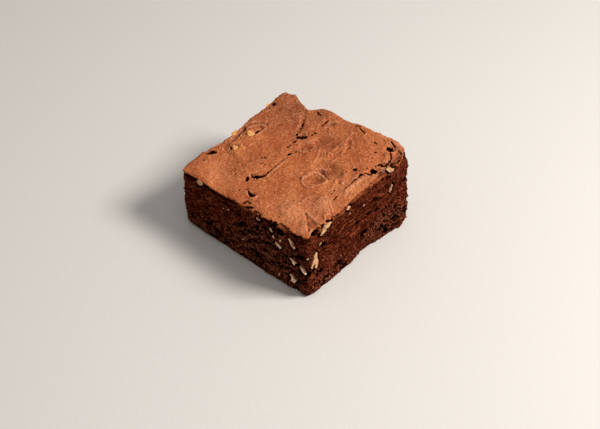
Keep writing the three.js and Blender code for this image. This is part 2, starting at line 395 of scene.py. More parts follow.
def crust_material():
    """The baked skin of a brownie: sugar and egg dried to a dull, thin, cocoa-brown paper.
    It is mottled over millimetres and finely grained like suede, and darker in places from its
    own baked tone. Painted highlight lies on its ridges and painted shade in its furrows, dents
    and pits, and paler patches are partly a painted sheen. Its pores keep most of the gloss down."""
    material, tree, place = new_material("baked_sugar_crust")
    form = {"Vector": place, "Scale": per_mm(15), "Detail": 3, "Roughness": 0.55}
    broad = add_node(tree, "ShaderNodeTexNoise", form)
    form = {"Vector": place, "Scale": per_mm(3.2), "Detail": 3, "Roughness": 0.6, "Distortion": 0.5}
    mottle = add_node(tree, "ShaderNodeTexNoise", form)
    form = {"Vector": place, "Scale": per_mm(0.8), "Detail": 3, "Roughness": 0.75}
    grain = add_node(tree, "ShaderNodeTexNoise", form)
    form = {"Vector": place, "Scale": per_mm(0.9), "Detail": 1, "Distortion": 0.6}
    fleck = add_node(tree, "ShaderNodeTexNoise", form)
    form = {"Vector": place, "Scale": per_mm(2.2), "Detail": 4, "Roughness": 0.6, "Distortion": 1.4}
    wrinkle = add_node(tree, "ShaderNodeTexNoise", form)
    rise, dusk_and_shade, pale, frayed = (
        add_node(tree, "ShaderNodeAttribute", output="Fac", attribute_name=name)
        for name in ("rise", "dusk_and_shade", "pale", "frayed"))
    torn = coated(tree, srgb("#4e1c0e"), (grain, 0.40, 0.60, 1.0, "#8a4226"))
    color = coated(
        tree, srgb("#ae572b"),
        (broad, 0.40, 0.62, 1.0, "#bf6a38"),
        (mottle, 0.50, 0.74, 0.6, "#cf7d4e"),
        (mottle, 0.46, 0.28, 0.6, "#96491f"),
        # dusk: darker baked tone in places, and painted shade in dents, pits and the blister's shaded wall
        (dusk_and_shade, 0.0, 1.0, 1.0, "#7d3f27"),
        (dusk_and_shade, 0.6, 0.9, 0.6, "#4a2412"),
        # pale: paler patches of the crust, partly a painted sheen towards the front of the top
        (pale, 0.0, 1.0, 1.0, "#e39c70"),
        # rise: painted highlight on the ridges and painted shade in the furrows
        (rise, 0.58, 1.0, 0.45, "#e6a880"),
        (rise, 0.42, 0.0, 0.6, "#6a2d12"),
        (grain, 0.54, 0.70, 0.65, "#e2a075"),
        (grain, 0.46, 0.32, 0.6, "#76300a"),
        (fleck, 0.28, 0.21, 0.9, "#3c1408"),
        (frayed, 0.0, 1.0, 1.0, torn))
    normal = add_node(tree, "ShaderNodeBump", {"Height": wrinkle, "Distance": 0.6 * MM, "Strength": 0.5})
    inputs = {"Height": grain, "Distance": 0.3 * MM, "Strength": 0.7, "Normal": normal}
    normal = add_node(tree, "ShaderNodeBump", inputs)
    inputs = {"Value": mottle, "From Min": 0.3, "From Max": 0.7, "To Min": 0.62, "To Max": 0.45}
    roughness = add_node(tree, "ShaderNodeMapRange", inputs)
    finish_material(tree, color, normal, roughness, IOR=1.45, Specular_IOR_Level=0.25)
    return material


def crust_edge_material():
    """Where the crust is cut or torn: the same skin, moist and redder through its thickness."""
    material, tree, place = new_material("torn_crust_edge")
    form = {"Vector": place, "Scale": per_mm(0.8), "Detail": 3, "Roughness": 0.65}
    grain = add_node(tree, "ShaderNodeTexNoise", form)
    color = coated(tree, srgb("#6a2c14"), (grain, 0.36, 0.64, 1.0, "#c06a38"))
    normal = add_node(tree, "ShaderNodeBump", {"Height": grain, "Distance": 0.25 * MM, "Strength": 0.8})
    finish_material(tree, color, normal, 0.65, IOR=1.45, Specular_IOR_Level=0.2)
    return material


def crumb_material():
    """Baked chocolate crumb: an open sponge of moist cocoa grains, near black in its pores as
    painted shade and redder on the raised grains as a painted highlight, with paler grains where
    it broke open, partly a painted glint, fine lines where the knife dragged it and a paler,
    drier band where it tore under the crust. The pores swallow its gloss."""
    material, tree, place = new_material("baked_chocolate_crumb")
    # Two sets of axes along the slanting beds, in which a pattern is drawn out.
    beds, strokes = (
        add_node(tree, "ShaderNodeMapping", {
            "Vector": place, "Rotation": (TOP_TILT_Y, -TOP_TILT_X, 0), "Scale": (stretch, stretch, 1)
        }, vector_type="TEXTURE") for stretch in (2, 5))
    form = {"Vector": beds, "Scale": per_mm(2.6), "Detail": 3, "Roughness": 0.6, "Distortion": 0.4}
    clump = add_node(tree, "ShaderNodeTexNoise", form)
    form = {"Vector": place, "Scale": per_mm(0.7), "Detail": 3, "Roughness": 0.7}
    grain = add_node(tree, "ShaderNodeTexNoise", form)
    form = {"Vector": strokes, "Scale": per_mm(0.7), "Detail": 3, "Roughness": 0.6}
    line = add_node(tree, "ShaderNodeTexNoise", form)
    relief, broken, smear, torn = (
        add_node(tree, "ShaderNodeAttribute", output="Fac", attribute_name=name)
        for name in ("relief", "broken", "smear", "torn"))
    # where the crumb broke open its grains are paler, partly a painted glint on the shaded sides
    grain_tone_and_glint = coated(tree, srgb("#8c4830"), (broken, 0.0, 1.0, 1.0, "#c07e5c"))
    dragged = coated(
        tree, srgb("#100000"), (line, 0.40, 0.52, 1.0, "#461406"), (line, 0.53, 0.66, 0.9, "#8e4c32"))
    under_crust = coated(tree, srgb("#6a2a16"), (grain, 0.38, 0.62, 1.0, "#b8683f"))
    color = coated(
        tree, srgb("#290704"),
        (clump, 0.38, 0.62, 1.0, "#5c1f10"),
        (grain, 0.50, 0.64, 0.85, grain_tone_and_glint),
        (grain, 0.48, 0.38, 0.95, "#0c0100"),
        (smear, -1 / 3, 0.8, 0.85, dragged),  # a quarter of it even where nothing is smeared
        (torn, 0.0, 1.0, 1.0, under_crust),
        # relief: painted shade in the pores and a painted highlight on the raised tips
        (relief, 0.56, 0.26, 1.0, "#060000"),
        (relief, 0.72, 0.92, 0.6, "#9c5a3e"))
    normal = add_node(tree, "ShaderNodeBump", {"Height": grain, "Distance": 0.4 * MM, "Strength": 0.9})
    inputs = {"Height": line, "Distance": 0.4 * MM, "Strength": 0.8, "Normal": normal}
    normal = add_node(tree, "ShaderNodeBump", inputs)
    finish_material(tree, color, normal, 0.75, IOR=1.46, Specular_IOR_Level=0.0)
    return material


def loose_crumb_material():
    """Single grains of the crumb, dry on the outside and so a little paler."""
    material, tree, place = new_material("loose_chocolate_crumb")
    tone = add_node(tree, "ShaderNodeTexNoise", {"Vector": place, "Scale": per_mm(1.4), "Detail": 1})
    color = coated(tree, srgb("#2c0a02"), (tone, 0.40, 0.60, 1.0, "#8e4c34"))
    grit = add_node(tree, "ShaderNodeTexNoise", {"Vector": place, "Scale": per_mm(0.4)})
    normal = add_node(tree, "ShaderNodeBump", {"Height": grit, "Distance": 0.15 * MM, "Strength": 0.7})
    finish_material(tree, color, normal, 0.75, IOR=1.46, Specular_IOR_Level=0.0)
    return material


def nut_material(name, pale, deep, skin):
    """Chopped nut: pale, waxy, broken flesh with scraps of its brown papery skin."""
    material, tree, place = new_material(name)
    form = {"Vector": place, "Scale": per_mm(1.0), "Detail": 3, "Roughness": 0.6, "Distortion": 0.5}
    fleck = add_node(tree, "ShaderNodeTexNoise", form)
    scrap = add_node(tree, "ShaderNodeTexNoise", {"Vector": place, "Scale": per_mm(1.9)})
    color = coated(tree, srgb(deep), (fleck, 0.35, 0.65, 1.0, pale), (scrap, 0.56, 0.66, 0.85, skin))
    normal = add_node(tree, "ShaderNodeBump", {"Height": fleck, "Distance": 0.25 * MM, "Strength": 0.7})
    finish_material(tree, color, normal, 0.5, IOR=1.47, Specular_IOR_Level=0.3)
    return material


CRUST = crust_material()
CRUST_EDGE = crust_edge_material()
CRUMB = crumb_material()
LOOSE_CRUMB = loose_crumb_material()
# painted light: the same nut flesh as the raw one, made lighter for the nuts and scraps on the shaded front
NUT_PAINTED_LIGHTER = nut_material("nut_flesh_painted_lighter", "#ffdabb", "#dc9f78", "#7c4328")
NUT_RAW = nut_material("chopped_nut_flesh", "#e4b487", "#bb8050", "#7f4726")
NUT_STAINED = nut_material("crumb_stained_nut_flesh", "#bd9068", "#87593a", "#5c2f1c")
NUT_TOASTED = nut_material("toasted_nut_flesh", "#f6c07c", "#cb8741", "#86491f")

# ------------ the solid block


def top_plane():
    """The slanting plane that lies closest to the CAD's top: its height over the origin,
    and its rise along X and along Y."""
    faces = frame["nodes"]["brownie"].data.polygons
    centers, normals = faces_of(faces)
    chosen = (normals[:, 2] > 0.8) & (centers[:, 2] > 0.65 * TOP_Z)
    centers = centers[chosen]
    weights = np.sqrt(numbers_of(faces, "area", 1)[chosen])
    rows = np.hstack((np.ones((len(centers), 1)), centers[:, :2]))
    return np.linalg.lstsq(rows * weights, centers[:, 2] * weights[:, 0], rcond=None)[0]


def below_top(points):
    """How far each point lies below the plane of the top."""
    height, along_x, along_y = TOP_PLANE
    return height + along_x * points[:, 0] + along_y * points[:, 1] - points[:, 2]


TOP_PLANE = top_plane()

# Where the block is fuller or leaner than the CAD's: place, push, reach of the push, and
# how much is pushed whole, in millimetres.
PUSHES = [
    ((-31, -34, 30.5), (0, 0, 1.3), 8, 5),
    ((38.5, 33, 22), (0.3, 0.2, 0), 18, 4),
    ((38.5, 33, 5), (1, 0.8, 0), 12, 3),
    ((35, 34, 43), (-0.4, 0.1, 0.4), 7, 2.5),
    ((38, 33.6, 43.6), (-1.1, -1, -0.2), 4.6, 2.2),
    ((14, 34.2, 42.2), (0, 0.3, 0.7), 8, 3),
    ((25, 34.2, 43), (0, 0.3, 0.6), 7, 3),
    ((38.6, -30, 1.5), (0.8, -0.2, 0), 5, 2),
    ((-8, 34, 40.5), (0, 0.3, 0.6), 7, 2.5),
    ((-39.2, -32, 14), (-0.5, 0, 0), 14, 3),
    ((-39, -23, 31), (-0.9, 0, 0.2), 10, 4),
    ((-30, 34.6, 38.6), (0, 0.2, 0.9), 3.6, 1.2),
    ((-32.9, 33.4, 38.4), (0, 0, -0.4), 2.4, 0.8),
    ((38.5, -34, 1), (-0.8, 0.8, 0), 6, 2),
    ((38.5, -33.5, 12), (0.1, -0.1, 0), 6, 2),
]


def push_out(block):
    for place, push, reach, core in PUSHES:
        away = np.linalg.norm(points_of(block) - np.array(place) * MM, axis=1)
        move_chosen(block, away < core * MM, Vector(push) * MM, reach * MM)


def on_top(places, normals):
    """Which vertices or faces belong to the top."""
    return (normals[:, 2] > 0.5) & (places[:, 2] > TOP_Z / 2)


def make_block(name, cell, sink=0.0):
    """The CAD solids merged into one closed skin of even cells. sink lowers the top."""
    block = copy_of_node("brownie", name)
    if sink:
        centers, normals = faces_of(block.data.polygons)
        move_chosen(block, on_top(centers, normals), (0, 0, -sink), kind="FACE")
    nuts = SIDE_NUTS if sink else SIDE_NUTS + TOP_NUTS
    block = join([block] + [copy_of_node(node, "fill") for node in nuts], name)
    voxel_remesh(block, cell)
    push_out(block)
    return block


def unit(values):
    """Keeps values between nothing and one."""
    return np.clip(values, 0, 1)


def from_sides(points):
    """How far in from the nearest side of the plan each point lies."""
    return np.minimum(
        HALF_X - np.abs(points[:, 0] - MIDDLE.x), HALF_Y - np.abs(points[:, 1] - MIDDLE.y))


# ------------ openings of the crust

# Cracks, in millimetres: the points that each runs through, with its width there.
CRACKS = [
    # the long crack between two pits left of the middle
    [(-10.6, -17.4, 0.5), (-8.8, -17.7, 1.9), (-7.2, -17.2, 2.4), (-5.8, -15.9, 1.7), (-4.9, -14.4, 1),
     (-5.1, -11.6, 0.7), (-5.3, -8.7, 0.7), (-5, -6.8, 0.6), (-5.1, -5.1, 0.6), (-4.6, -2.4, 0.45)],
    # the tail of the pit at the front
    [(-5.9, -25.3, 0.8), (-4.8, -25.8, 0.5), (-3.2, -26.6, 1), (-1.6, -27, 1.4)],
    # the chain of pits that leads on to the notch
    [(-9.4, 5, 0.9), (-9.1, 6.6, 0.6)],
    [(-9.4, 8.8, 1), (-9, 10.6, 0.8)],
    [(-11.6, 13.6, 1.1), (-12, 15, 0.9)],
    [(-13.8, 20, 1), (-14.6, 21.6, 0.7)],
    [(-15.4, 22.6, 0.8), (-16.6, 24.4, 0.5)],
    # short cracks near the back edge
    [(-6, 24.3, 0.5), (-5.9, 26.6, 0.7), (-5.5, 28.5, 0.45)],
    [(-14.4, 31, 0.5), (-13.1, 30.1, 0.75), (-10.8, 29.3, 0.45)],
    [(10.4, 31.8, 0.6), (12.6, 31, 0.7), (15, 30.3, 0.5)],
    # the crack along the right edge
    [(30.7, -3.8, 0.35), (30.9, -2.7, 0.45), (30.5, -1, 0.6), (30.7, 1.1, 0.5), (30.5, 3.5, 0.65),
     (31.2, 6.3, 0.7), (30.5, 8.4, 0.9), (31.7, 8.9, 0.6), (32.2, 10.5, 0.8), (34.1, 10.5, 0.8),
     (34, 12.4, 1.1)],
    [(32.4, 16.6, 0.8), (32.7, 17.6, 0.7), (33.3, 18.7, 1.1), (34.6, 18.5, 0.8), (35.7, 19.8, 0.9),
     (35.6, 21.7, 0.7), (35.3, 24, 0.8), (33.4, 25.9, 0.7), (31.9, 27, 0.9)],
    [(28.4, 32.1, 0.35), (30.2, 31.4, 0.45), (31.9, 30.6, 0.5)],
    [(34.4, 29.9, 0.45), (36.8, 29.1, 0.55)],
    # scratches left of the long crack and tears near the edges
    [(-11.6, -10.7, 0.6), (-11.2, -9.2, 0.45), (-9.9, -9.6, 0.55), (-7.9, -8.9, 0.4)],
    [(-13.5, -6.2, 0.55), (-11.4, -5.8, 0.4)],
    [(30.4, -6.5, 0.45), (30.7, -8.2, 0.5), (31.1, -9.9, 0.4)],
    [(21.9, 28.2, 0.8), (23.6, 28.1, 0.5)],
    [(-19.8, -18.8, 0.4), (-20.1, -20.8, 0.4)],
    # the gaps beside the nuts of the top
    [(-27.9, 3.2, 0.5), (-28, 4.8, 0.6), (-28.2, 6.6, 0.35)],
    [(-31.3, -9.6, 0.6), (-30.2, -11.4, 0.35)],
    [(-1.6, -32.6, 0.7), (0.2, -30.8, 0.8), (1.8, -31.2, 0.5)],
    [(0, -34, 0.7), (2.2, -32.9, 0.6), (4.2, -32.7, 0.8)],
    [(6, -33.4, 0.5), (8.6, -33, 0.7), (10.4, -33.8, 0.5)],
]

# Open bubbles: place, width along and across, and the turn of the long way.
BUBBLES = [
    (-9.9, -20.9, 3, 1.9, 128), (-9.2, 13.4, 3.8, 2.5, 35), (-7.4, 14.6, 1.9, 1.3, 35),
    (-12.9, 18.3, 1.6, 1.1, 20), (-5.5, 17.4, 1.3, 1, 0), (-5.1, 19.1, 1.6, 1, 50),
    (-5.4, 1.8, 2.3, 1.6, 35), (-0.8, -27.2, 2.6, 2.2, 20), (26.3, 10, 1.9, 1.8, 0),
    (33.4, 13.9, 3.2, 2.6, 20), (30.5, 28.7, 3.4, 1.9, 10), (26.3, 23.7, 1.1, 0.9, 0),
    (9, 32.5, 3.4, 1, 8), (-36.4, -17.1, 5, 3.1, 46), (-35.4, 23.7, 2.4, 1.8, 20),
    (-30.6, 22.4, 0.9, 0.8, 0), (-35.2, 3.6, 1.3, 0.9, 60), (-34.3, -0.3, 0.9, 0.7, 80),
    (-12, -0.4, 0.9, 0.7, 0), (-35.3, -23, 0.9, 0.6, 0), (13.6, -26.2, 0.8, 0.5, 30),
    (17, -19.7, 0.8, 0.6, 0), (12, -18.9, 0.7, 0.6, 0), (15.3, 15.3, 0.7, 0.6, 0),
    # the torn strip beyond the right crack
    (36.9, 22.4, 3.2, 0.9, 85), (36.2, 15.6, 2.6, 0.8, 70), (37.6, 25.6, 2, 0.8, 100),
]

# Where the crust's edge has crumbled away: place and reach.
CHIPS = [
    (37.7, -29.4, 1.6), (37.6, -27, 2.2), (38, -23.6, 1.6), (37.8, -20.6, 1.5), (38.2, -17.6, 1.5),
    (38.4, -15, 1.4), (38.6, -12.6, 1.1), (38.5, -10.2, 1.3), (38.7, -7.6, 1.3), (38.8, -4.4, 1.1),
    (39, -1.2, 1.2), (39, 2.4, 1.1), (39.1, 6.8, 1.1), (39.2, 10.2, 1.3), (39.2, 18, 1.5),
    (39.2, 21.5, 1.4), (39.4, 14, 1.1), (2.4, -34.4, 1.5), (5.4, -34.7, 1.2), (8.6, -35, 1.1),
    (16.4, -34.7, 1.5), (18.8, -34.3, 1.4), (21.4, -34, 1.6), (23.6, -33.9, 1.5), (27.6, -34.6, 1.2),
    (25.6, -34.2, 1.5), (-1.6, -34.9, 1.2), (14, -35.4, 0.8), (-33.2, 34.6, 1), (2.6, 35.2, 1.5),
    (14.2, 35.2, 1.2), (-39, -2, 1.2), (-38.8, 21.8, 1), (-13.5, 34.6, 0.8),
]
PINHOLE_COUNT = 70
PINHOLE_SIZES = (0.42, 0.4)  # the smallest one's width, and how much wider the largest is
RAGGED = 0.4  # how uneven the edges of openings are, in millimetres


def pinholes():
    """Small open bubbles anywhere in the crust."""
    dice = random.Random(11)
    holes = []
    for _ in range(PINHOLE_COUNT):
        x = (MIDDLE.x + dice.uniform(-0.95, 0.95) * HALF_X) / MM
        y = (MIDDLE.y + dice.uniform(-0.95, 0.95) * HALF_Y) / MM
        size = PINHOLE_SIZES[0] + PINHOLE_SIZES[1] * dice.random() ** 3
        holes.append((x, y, size * dice.uniform(1.0, 1.8), size, dice.uniform(0, 180)))
    return holes


def opening_depth(points, chips=False):
    """How far inside an opening of the crust each point lies, in millimetres; a point
    outside every opening gets a negative number."""
    x, y = points[:, 0] / MM, points[:, 1] / MM
    depth = np.full(len(points), -FAR)
    for path in CRACKS:
        for (x0, y0, width0), (x1, y1, width1) in zip(path, path[1:]):
            length_2 = (x1 - x0) ** 2 + (y1 - y0) ** 2
            share = unit(((x - x0) * (x1 - x0) + (y - y0) * (y1 - y0)) / length_2)
            away = np.hypot(x - x0 - share * (x1 - x0), y - y0 - share * (y1 - y0))
            depth = np.maximum(depth, (width0 + share * (width1 - width0)) / 2 - away)
    for x0, y0, length, width, turn in BUBBLES + pinholes():
        cos, sin = math.cos(math.radians(turn)), math.sin(math.radians(turn))
        along = ((x - x0) * cos + (y - y0) * sin) * 2 / length
        across = ((y - y0) * cos - (x - x0) * sin) * 2 / width
        depth = np.maximum(depth, (1 - np.hypot(along, across)) * width / 2)
    if chips:
        for x0, y0, reach in CHIPS:
            depth = np.maximum(depth, reach - np.hypot(x - x0, y - y0))
    for index in np.nonzero(depth > -RAGGED)[0]:
        depth[index] += RAGGED * solid_noise(Vector((x[index], y[index], 0.5)) * 1.5)
    return depth


# ------------ the crust's sheet


def make_sheet():
    """The surface of the crust, before it cracks: a fine grid laid over the whole top."""
    form = make_block("crust_form", CRUST_FORM_CELL)
    centers, normals = faces_of(form.data.polygons)
    delete_chosen(form, (normals[:, 2] < 0.3) | (below_top(centers) > CRUST_SAG), "FACE")
    form.scale = (1 + CRUST_OVERHANG / HALF_X, 1 + CRUST_OVERHANG / HALF_Y, 1)
    settle(form)

    margin = 3 * MM
    start_z = TOP_Z + 10 * MM
    width_x, width_y = 2 * HALF_X + margin, 2 * HALF_Y + margin
    bpy.ops.mesh.primitive_grid_add(
        x_subdivisions=round(width_x / CRUST_CELL), y_subdivisions=round(width_y / CRUST_CELL),
        size=1, location=(MIDDLE.x, MIDDLE.y, start_z))
    sheet = named("papery_crust")
    sheet.scale = (width_x, width_y, 1)
    settle(sheet)
    drop_on(sheet, form)
    remove(form)
    points = points_of(sheet)
    delete_chosen(sheet, points[:, 2] > start_z - MM)
    modify(sheet, "SMOOTH", factor=0.5, iterations=3)
    return sheet


def near_path(points, path, reach):
    """Which points lie within a distance of a path over the plan."""
    chosen = np.zeros(len(points), dtype=bool)
    for start, end in zip(path, path[1:]):
        a = np.array(start) * MM
        b = np.array(end) * MM
        along = b - a
        share = unit(((points[:, :2] - a) @ along) / (along @ along))
        distance = np.linalg.norm(points[:, :2] - (a + share[:, None] * along), axis=1)
        chosen |= distance < reach
    return chosen


def press(piece, path, rise, reach, width, falloff="SMOOTH"):
    """Pushes the crust up or down along a path, fading out over the reach."""
    chosen = near_path(points_of(piece), path, width * MM)
    move_chosen(piece, chosen, (0, 0, rise * MM), reach * MM, falloff)


# What stands up or sinks in the crust: path in millimetres, rise, reach, half width, and
# SHARP where it is a narrow edge.
CRUST_RELIEF = [
    # the burst blister: its bowl, its rim, the inner rim and the steps round it
    ([(14.4, -4.4), (15.6, -5.4), (17.2, -4.4)], -0.9, 2.6, 0.9),
    ([(12.7, -9.5), (11.2, -7.9), (10.3, -6), (10.4, -3.9), (11.8, -1.5), (14.1, -0.6), (17.2, -1.1)],
     0.4, 1.1, 0.25, "SHARP"),
    ([(17.2, -1.1), (19.9, -1.9), (20.8, -3.3), (20.2, -5.7), (19, -7.9), (17.8, -10), (15.1, -10.5),
      (12.7, -9.5)], 0.5, 1.1, 0.25, "SHARP"),
    ([(13.6, -6.4), (14.9, -7.8), (16.6, -8.4), (18, -7)], 0.5, 0.8, 0.2, "SHARP"),
    ([(11.8, -6.6), (12.2, -5.2)], -0.5, 0.9, 0.25),
    ([(13.4, 2.4), (16.5, 1.1), (19.6, -0.5)], -1.2, 1.5, 0.3),
    ([(11.5, 4.2), (16, 4.6), (20.6, 3.2)], -1.1, 3.6, 1.3),
    ([(24.2, -0.8), (23.4, 0.3), (23.5, 1.7), (25.3, 1.9), (27.1, 1.3), (27.3, -0.3)],
     0.5, 0.9, 0.2, "SHARP"),
    ([(25.2, 0.3), (25.8, 0)], -0.5, 0.9, 0.3),
    # two shallow dents left of the middle, each with a raised near rim
    ([(-3, 9), (-1, 9.8)], -0.9, 3, 1),
    ([(0.4, 12.6), (1.3, 9), (0.4, 6.4), (-2.6, 5.4), (-5.4, 6.4)], 0.6, 1.1, 0.25, "SHARP"),
    ([(1.2, 15.8), (5.2, 17.4)], -1, 4.4, 1.4),
    ([(10.2, 17), (10.2, 13.8), (9.7, 12), (8.4, 10.6)], 0.4, 1, 0.25, "SHARP"),
    ([(3.6, 12.4), (4.8, 10.4), (6.3, 8.2)], 0.35, 0.9, 0.25, "SHARP"),
    ([(6.8, 10.4), (8, 8.4)], 0.3, 0.8, 0.2, "SHARP"),
    # the long ridges behind the blister
    ([(9.3, 28), (9.8, 26), (10.8, 22.1)], 0.4, 1.3, 0.25, "SHARP"),
    ([(12.4, 20.4), (14.4, 16), (14.9, 13.2), (14.8, 10.1), (14.2, 8)], 0.35, 1.4, 0.25, "SHARP"),
    ([(11.8, 23), (14.2, 18.8)], -0.5, 1.6, 0.4),
    ([(-3.6, 23.8), (-2.4, 24.9), (-1, 24.6)], 0.5, 0.9, 0.2, "SHARP"),
    ([(-2.5, 27.8), (-2.2, 28)], -0.8, 1.5, 0.4),
    ([(24.8, 8.9), (24.7, 10.8), (25.8, 11.8)], 0.35, 0.8, 0.2, "SHARP"),
    # arcs beside the nuts of the top, with the crust lifted round them
    ([(-36.3, 4), (-35.4, 6.5), (-33.2, 8.7), (-31.1, 10.4), (-28.4, 11.2)], -0.8, 1.2, 0.3),
    ([(-33.4, 3.6), (-32.2, 6), (-30.7, 8), (-29, 9.4), (-27, 9.4)], 0.8, 1.1, 0.25, "SHARP"),
    ([(-27.4, 3.4), (-27.8, 6), (-28.4, 7.8)], -0.6, 1, 0.25),
    ([(-26.2, 2.6), (-26.4, 5.4), (-26.6, 8)], 0.4, 1, 0.25, "SHARP"),
    ([(-30.4, 1.4), (-28, 1.6)], 0.6, 3.2, 1.8),
    ([(-30, -8.8), (-27.8, -9)], 0.6, 3, 1.6),
    ([(-31.9, -8.4), (-31, -6.8), (-29.4, -6), (-27.6, -6.2)], 0.5, 0.9, 0.2, "SHARP"),
    ([(-34.9, 3.1), (-34.2, -0.1), (-34.1, -3.6), (-33.8, -5.9)], -0.9, 1.5, 0.4),
    ([(-31.4, 13.6), (-30.2, 15)], 0.4, 0.9, 0.2, "SHARP"),
    # flaps near the near corner
    ([(26.1, -22.3), (28.7, -24.3), (32, -27.3), (34.8, -30.1)], -0.7, 0.9, 0.25, "SHARP"),
    ([(27.1, -22.1), (31.4, -23.3), (34.1, -24), (36.3, -23.9)], 0.5, 1, 0.25, "SHARP"),
    ([(31.4, -25.2), (34.2, -26.6)], -0.4, 1.8, 0.6),
    ([(27.2, -24.6), (27.7, -27.8), (28.6, -31), (30.5, -33.2)], -0.2, 0.8, 0.2, "SHARP"),
    ([(29.4, -26.6), (31.4, -29.4)], 0.3, 1.8, 0.5),
    # the pale raised scabs near the right edge
    ([(28.4, -14.6), (31.4, -16.4)], 0.5, 3, 1.6),
    ([(26.2, -12.8), (28.1, -10.8), (30.4, -11.6), (33.1, -13.7), (34.9, -15.1)], 0.5, 0.9, 0.25, "SHARP"),
    ([(35, -17.4), (34.1, -19.4), (35.4, -20.5)], 0.6, 0.9, 0.25, "SHARP"),
    ([(20.2, -17.9), (20.8, -15.1), (22.2, -12.8), (25, -12.4)], 0.45, 1, 0.25, "SHARP"),
    ([(17.6, -25.6), (20.4, -24.4)], 0.6, 4.4, 1.6),
    ([(13.8, -22), (16.4, -19.8), (19.8, -19.4)], 0.3, 1, 0.25, "SHARP"),
    # the curled edges of the two long cracks
    ([(-3.9, -14), (-4.1, -9), (-3.9, -4)], 0.35, 1.2, 0.4),
    ([(-11, -18.4), (-7.6, -18.8), (-5.2, -17.4)], 0.35, 1.1, 0.3),
    ([(32, -3), (31.8, 1.4), (32.4, 6), (33.4, 8.6)], 0.5, 1.4, 0.5),
    ([(29.8, 5), (29.4, 8.8), (31, 11.6)], 0.35, 1.3, 0.4),
    ([(33.6, 21.4), (33.4, 23.6), (31.6, 25.4)], 0.45, 1.6, 0.5),
    # the strip beyond the right crack has sunk, but for the flake at its end
    ([(37.6, 13), (38.2, 18), (38, 24), (36.4, 27.4)], -1, 2.4, 0.8),
    ([(30, 33.2), (34, 32), (36.8, 30.8)], 0.4, 1.6, 0.5),
    # the crust has sunk along the line of pits, and hangs at the front edge
    ([(-20, 28.2), (-16.5, 24.2), (-14, 20), (-12.4, 15.5)], -0.6, 1.8, 0.3),
    ([(-10.4, 12), (-8, 12), (-6, 13.2)], 0.4, 0.9, 0.25, "SHARP"),
    ([(-25, -12), (-18, -14), (-12, -12)], 0.35, 2, 0.4),
    ([(-0.4, -29), (1.4, -28.2), (1.2, -26.4)], 0.5, 1.1, 0.3, "SHARP"),
    ([(-1, -33), (3.6, -33.2), (9, -34)], -0.9, 2.4, 0.6),
]

# Where the crust is duskier, from its own baked tone and from painted shade in its dents, pits
# and the shaded wall of the burst blister, or paler, partly from a painted sheen: place, reach
# along X and Y, and how much.
DUSK_AND_SHADE_PLACES = [
    (-26, 25, 15, 13, 0.62), (-4, 29, 15, 7, 0.18), (15.6, 3.4, 5.2, 2.6, 0.75),
    (13.6, 1.8, 1.8, 0.9, 0.50), (15.9, 0.9, 1.9, 0.8, 0.80), (18.4, -0.2, 1.6, 0.7, 0.50),
    (-35.2, 3.6, 1, 1, 0.70), (-28.2, 5, 0.7, 2, 0.60), (-34.3, -0.4, 0.9, 1.6, 0.40),
    (15.8, -5, 3, 2.8, 0.35), (3.6, 16.4, 6, 4.4, 0.50), (-2.4, 9.2, 3.6, 2.8, 0.35),
    (-34.4, -1, 1.8, 8, 0.45), (-31.5, 9.4, 4.6, 1.6, 0.30), (36.8, 20.5, 2.6, 10, 0.90),
    (32.6, -25.8, 2.2, 1.5, 0.35), (-10, 13, 4.5, 5, 0.30), (-2.3, 27.9, 2.2, 1.8, 0.40),
    (30.2, -26.6, 1.6, 1.2, 0.30), (-14, -9, 6, 5, 0.12),
]
# paler patches, partly a painted sheen on the front of the top
PALE_AND_SHEEN_PLACES = [
    (20, -24, 9, 6, 0.35), (30, -15, 4.6, 4, 0.35), (31.6, -22.4, 3.2, 1.1, 0.35),
    (33.4, 2, 1.8, 6, 0.40), (28, -4, 6, 8, 0.15), (-24, -24, 12, 8, 0.15), (32, -31, 4, 3, 0.20),
    (33, 32, 4, 1.6, 0.30),
]

# Where the crust's edge is torn rather than cut: place, reach along X and Y, and how much.
TORN_EDGES = [
    (1, -34, 5, 3, 0.8), (22.5, -34, 5, 3, 0.9), (37, -27, 3, 3.5, 0.7), (37, -20, 3, 2.5, 0.7),
    (38, -12, 3, 3, 0.4), (38.5, 18, 3, 11, 0.9), (6, 34.5, 8, 3, 0.6), (38.5, 0, 3, 30, 0.7),
    (-38, -1, 3, 5, 0.6), (-38, 21, 3, 4, 0.5),
]
MOST_SPOT = 0.9  # how strong the sum of the spots may be


def spots(points, places):
    """The sum of soft spots over the plan at each point."""
    x, y = points[:, 0] / MM, points[:, 1] / MM
    total = np.zeros(len(points))
    for x0, y0, reach_x, reach_y, amount in places:
        total += amount * np.exp(-((x - x0) / reach_x) ** 2 - ((y - y0) / reach_y) ** 2)
    return np.clip(total, 0, MOST_SPOT)


def store_rise(sheet):
    """Stores how far each point stands above its surroundings: half for level, one for a
    ridge and nothing for a furrow. The crust's colour turns it into a painted highlight on the
    ridges and painted shade in the furrows."""
    smoothed = copy_of(sheet, "smoothed_sheet")
    modify(smoothed, "SMOOTH", factor=0.8, iterations=12)
    rise = points_of(sheet)[:, 2] - points_of(smoothed)[:, 2]
    remove(smoothed)
    inside = unit(from_sides(points_of(sheet)) / (2 * MM) - 0.2)
    stored(sheet, "rise", unit(0.5 + inside * rise / (0.36 * MM)))


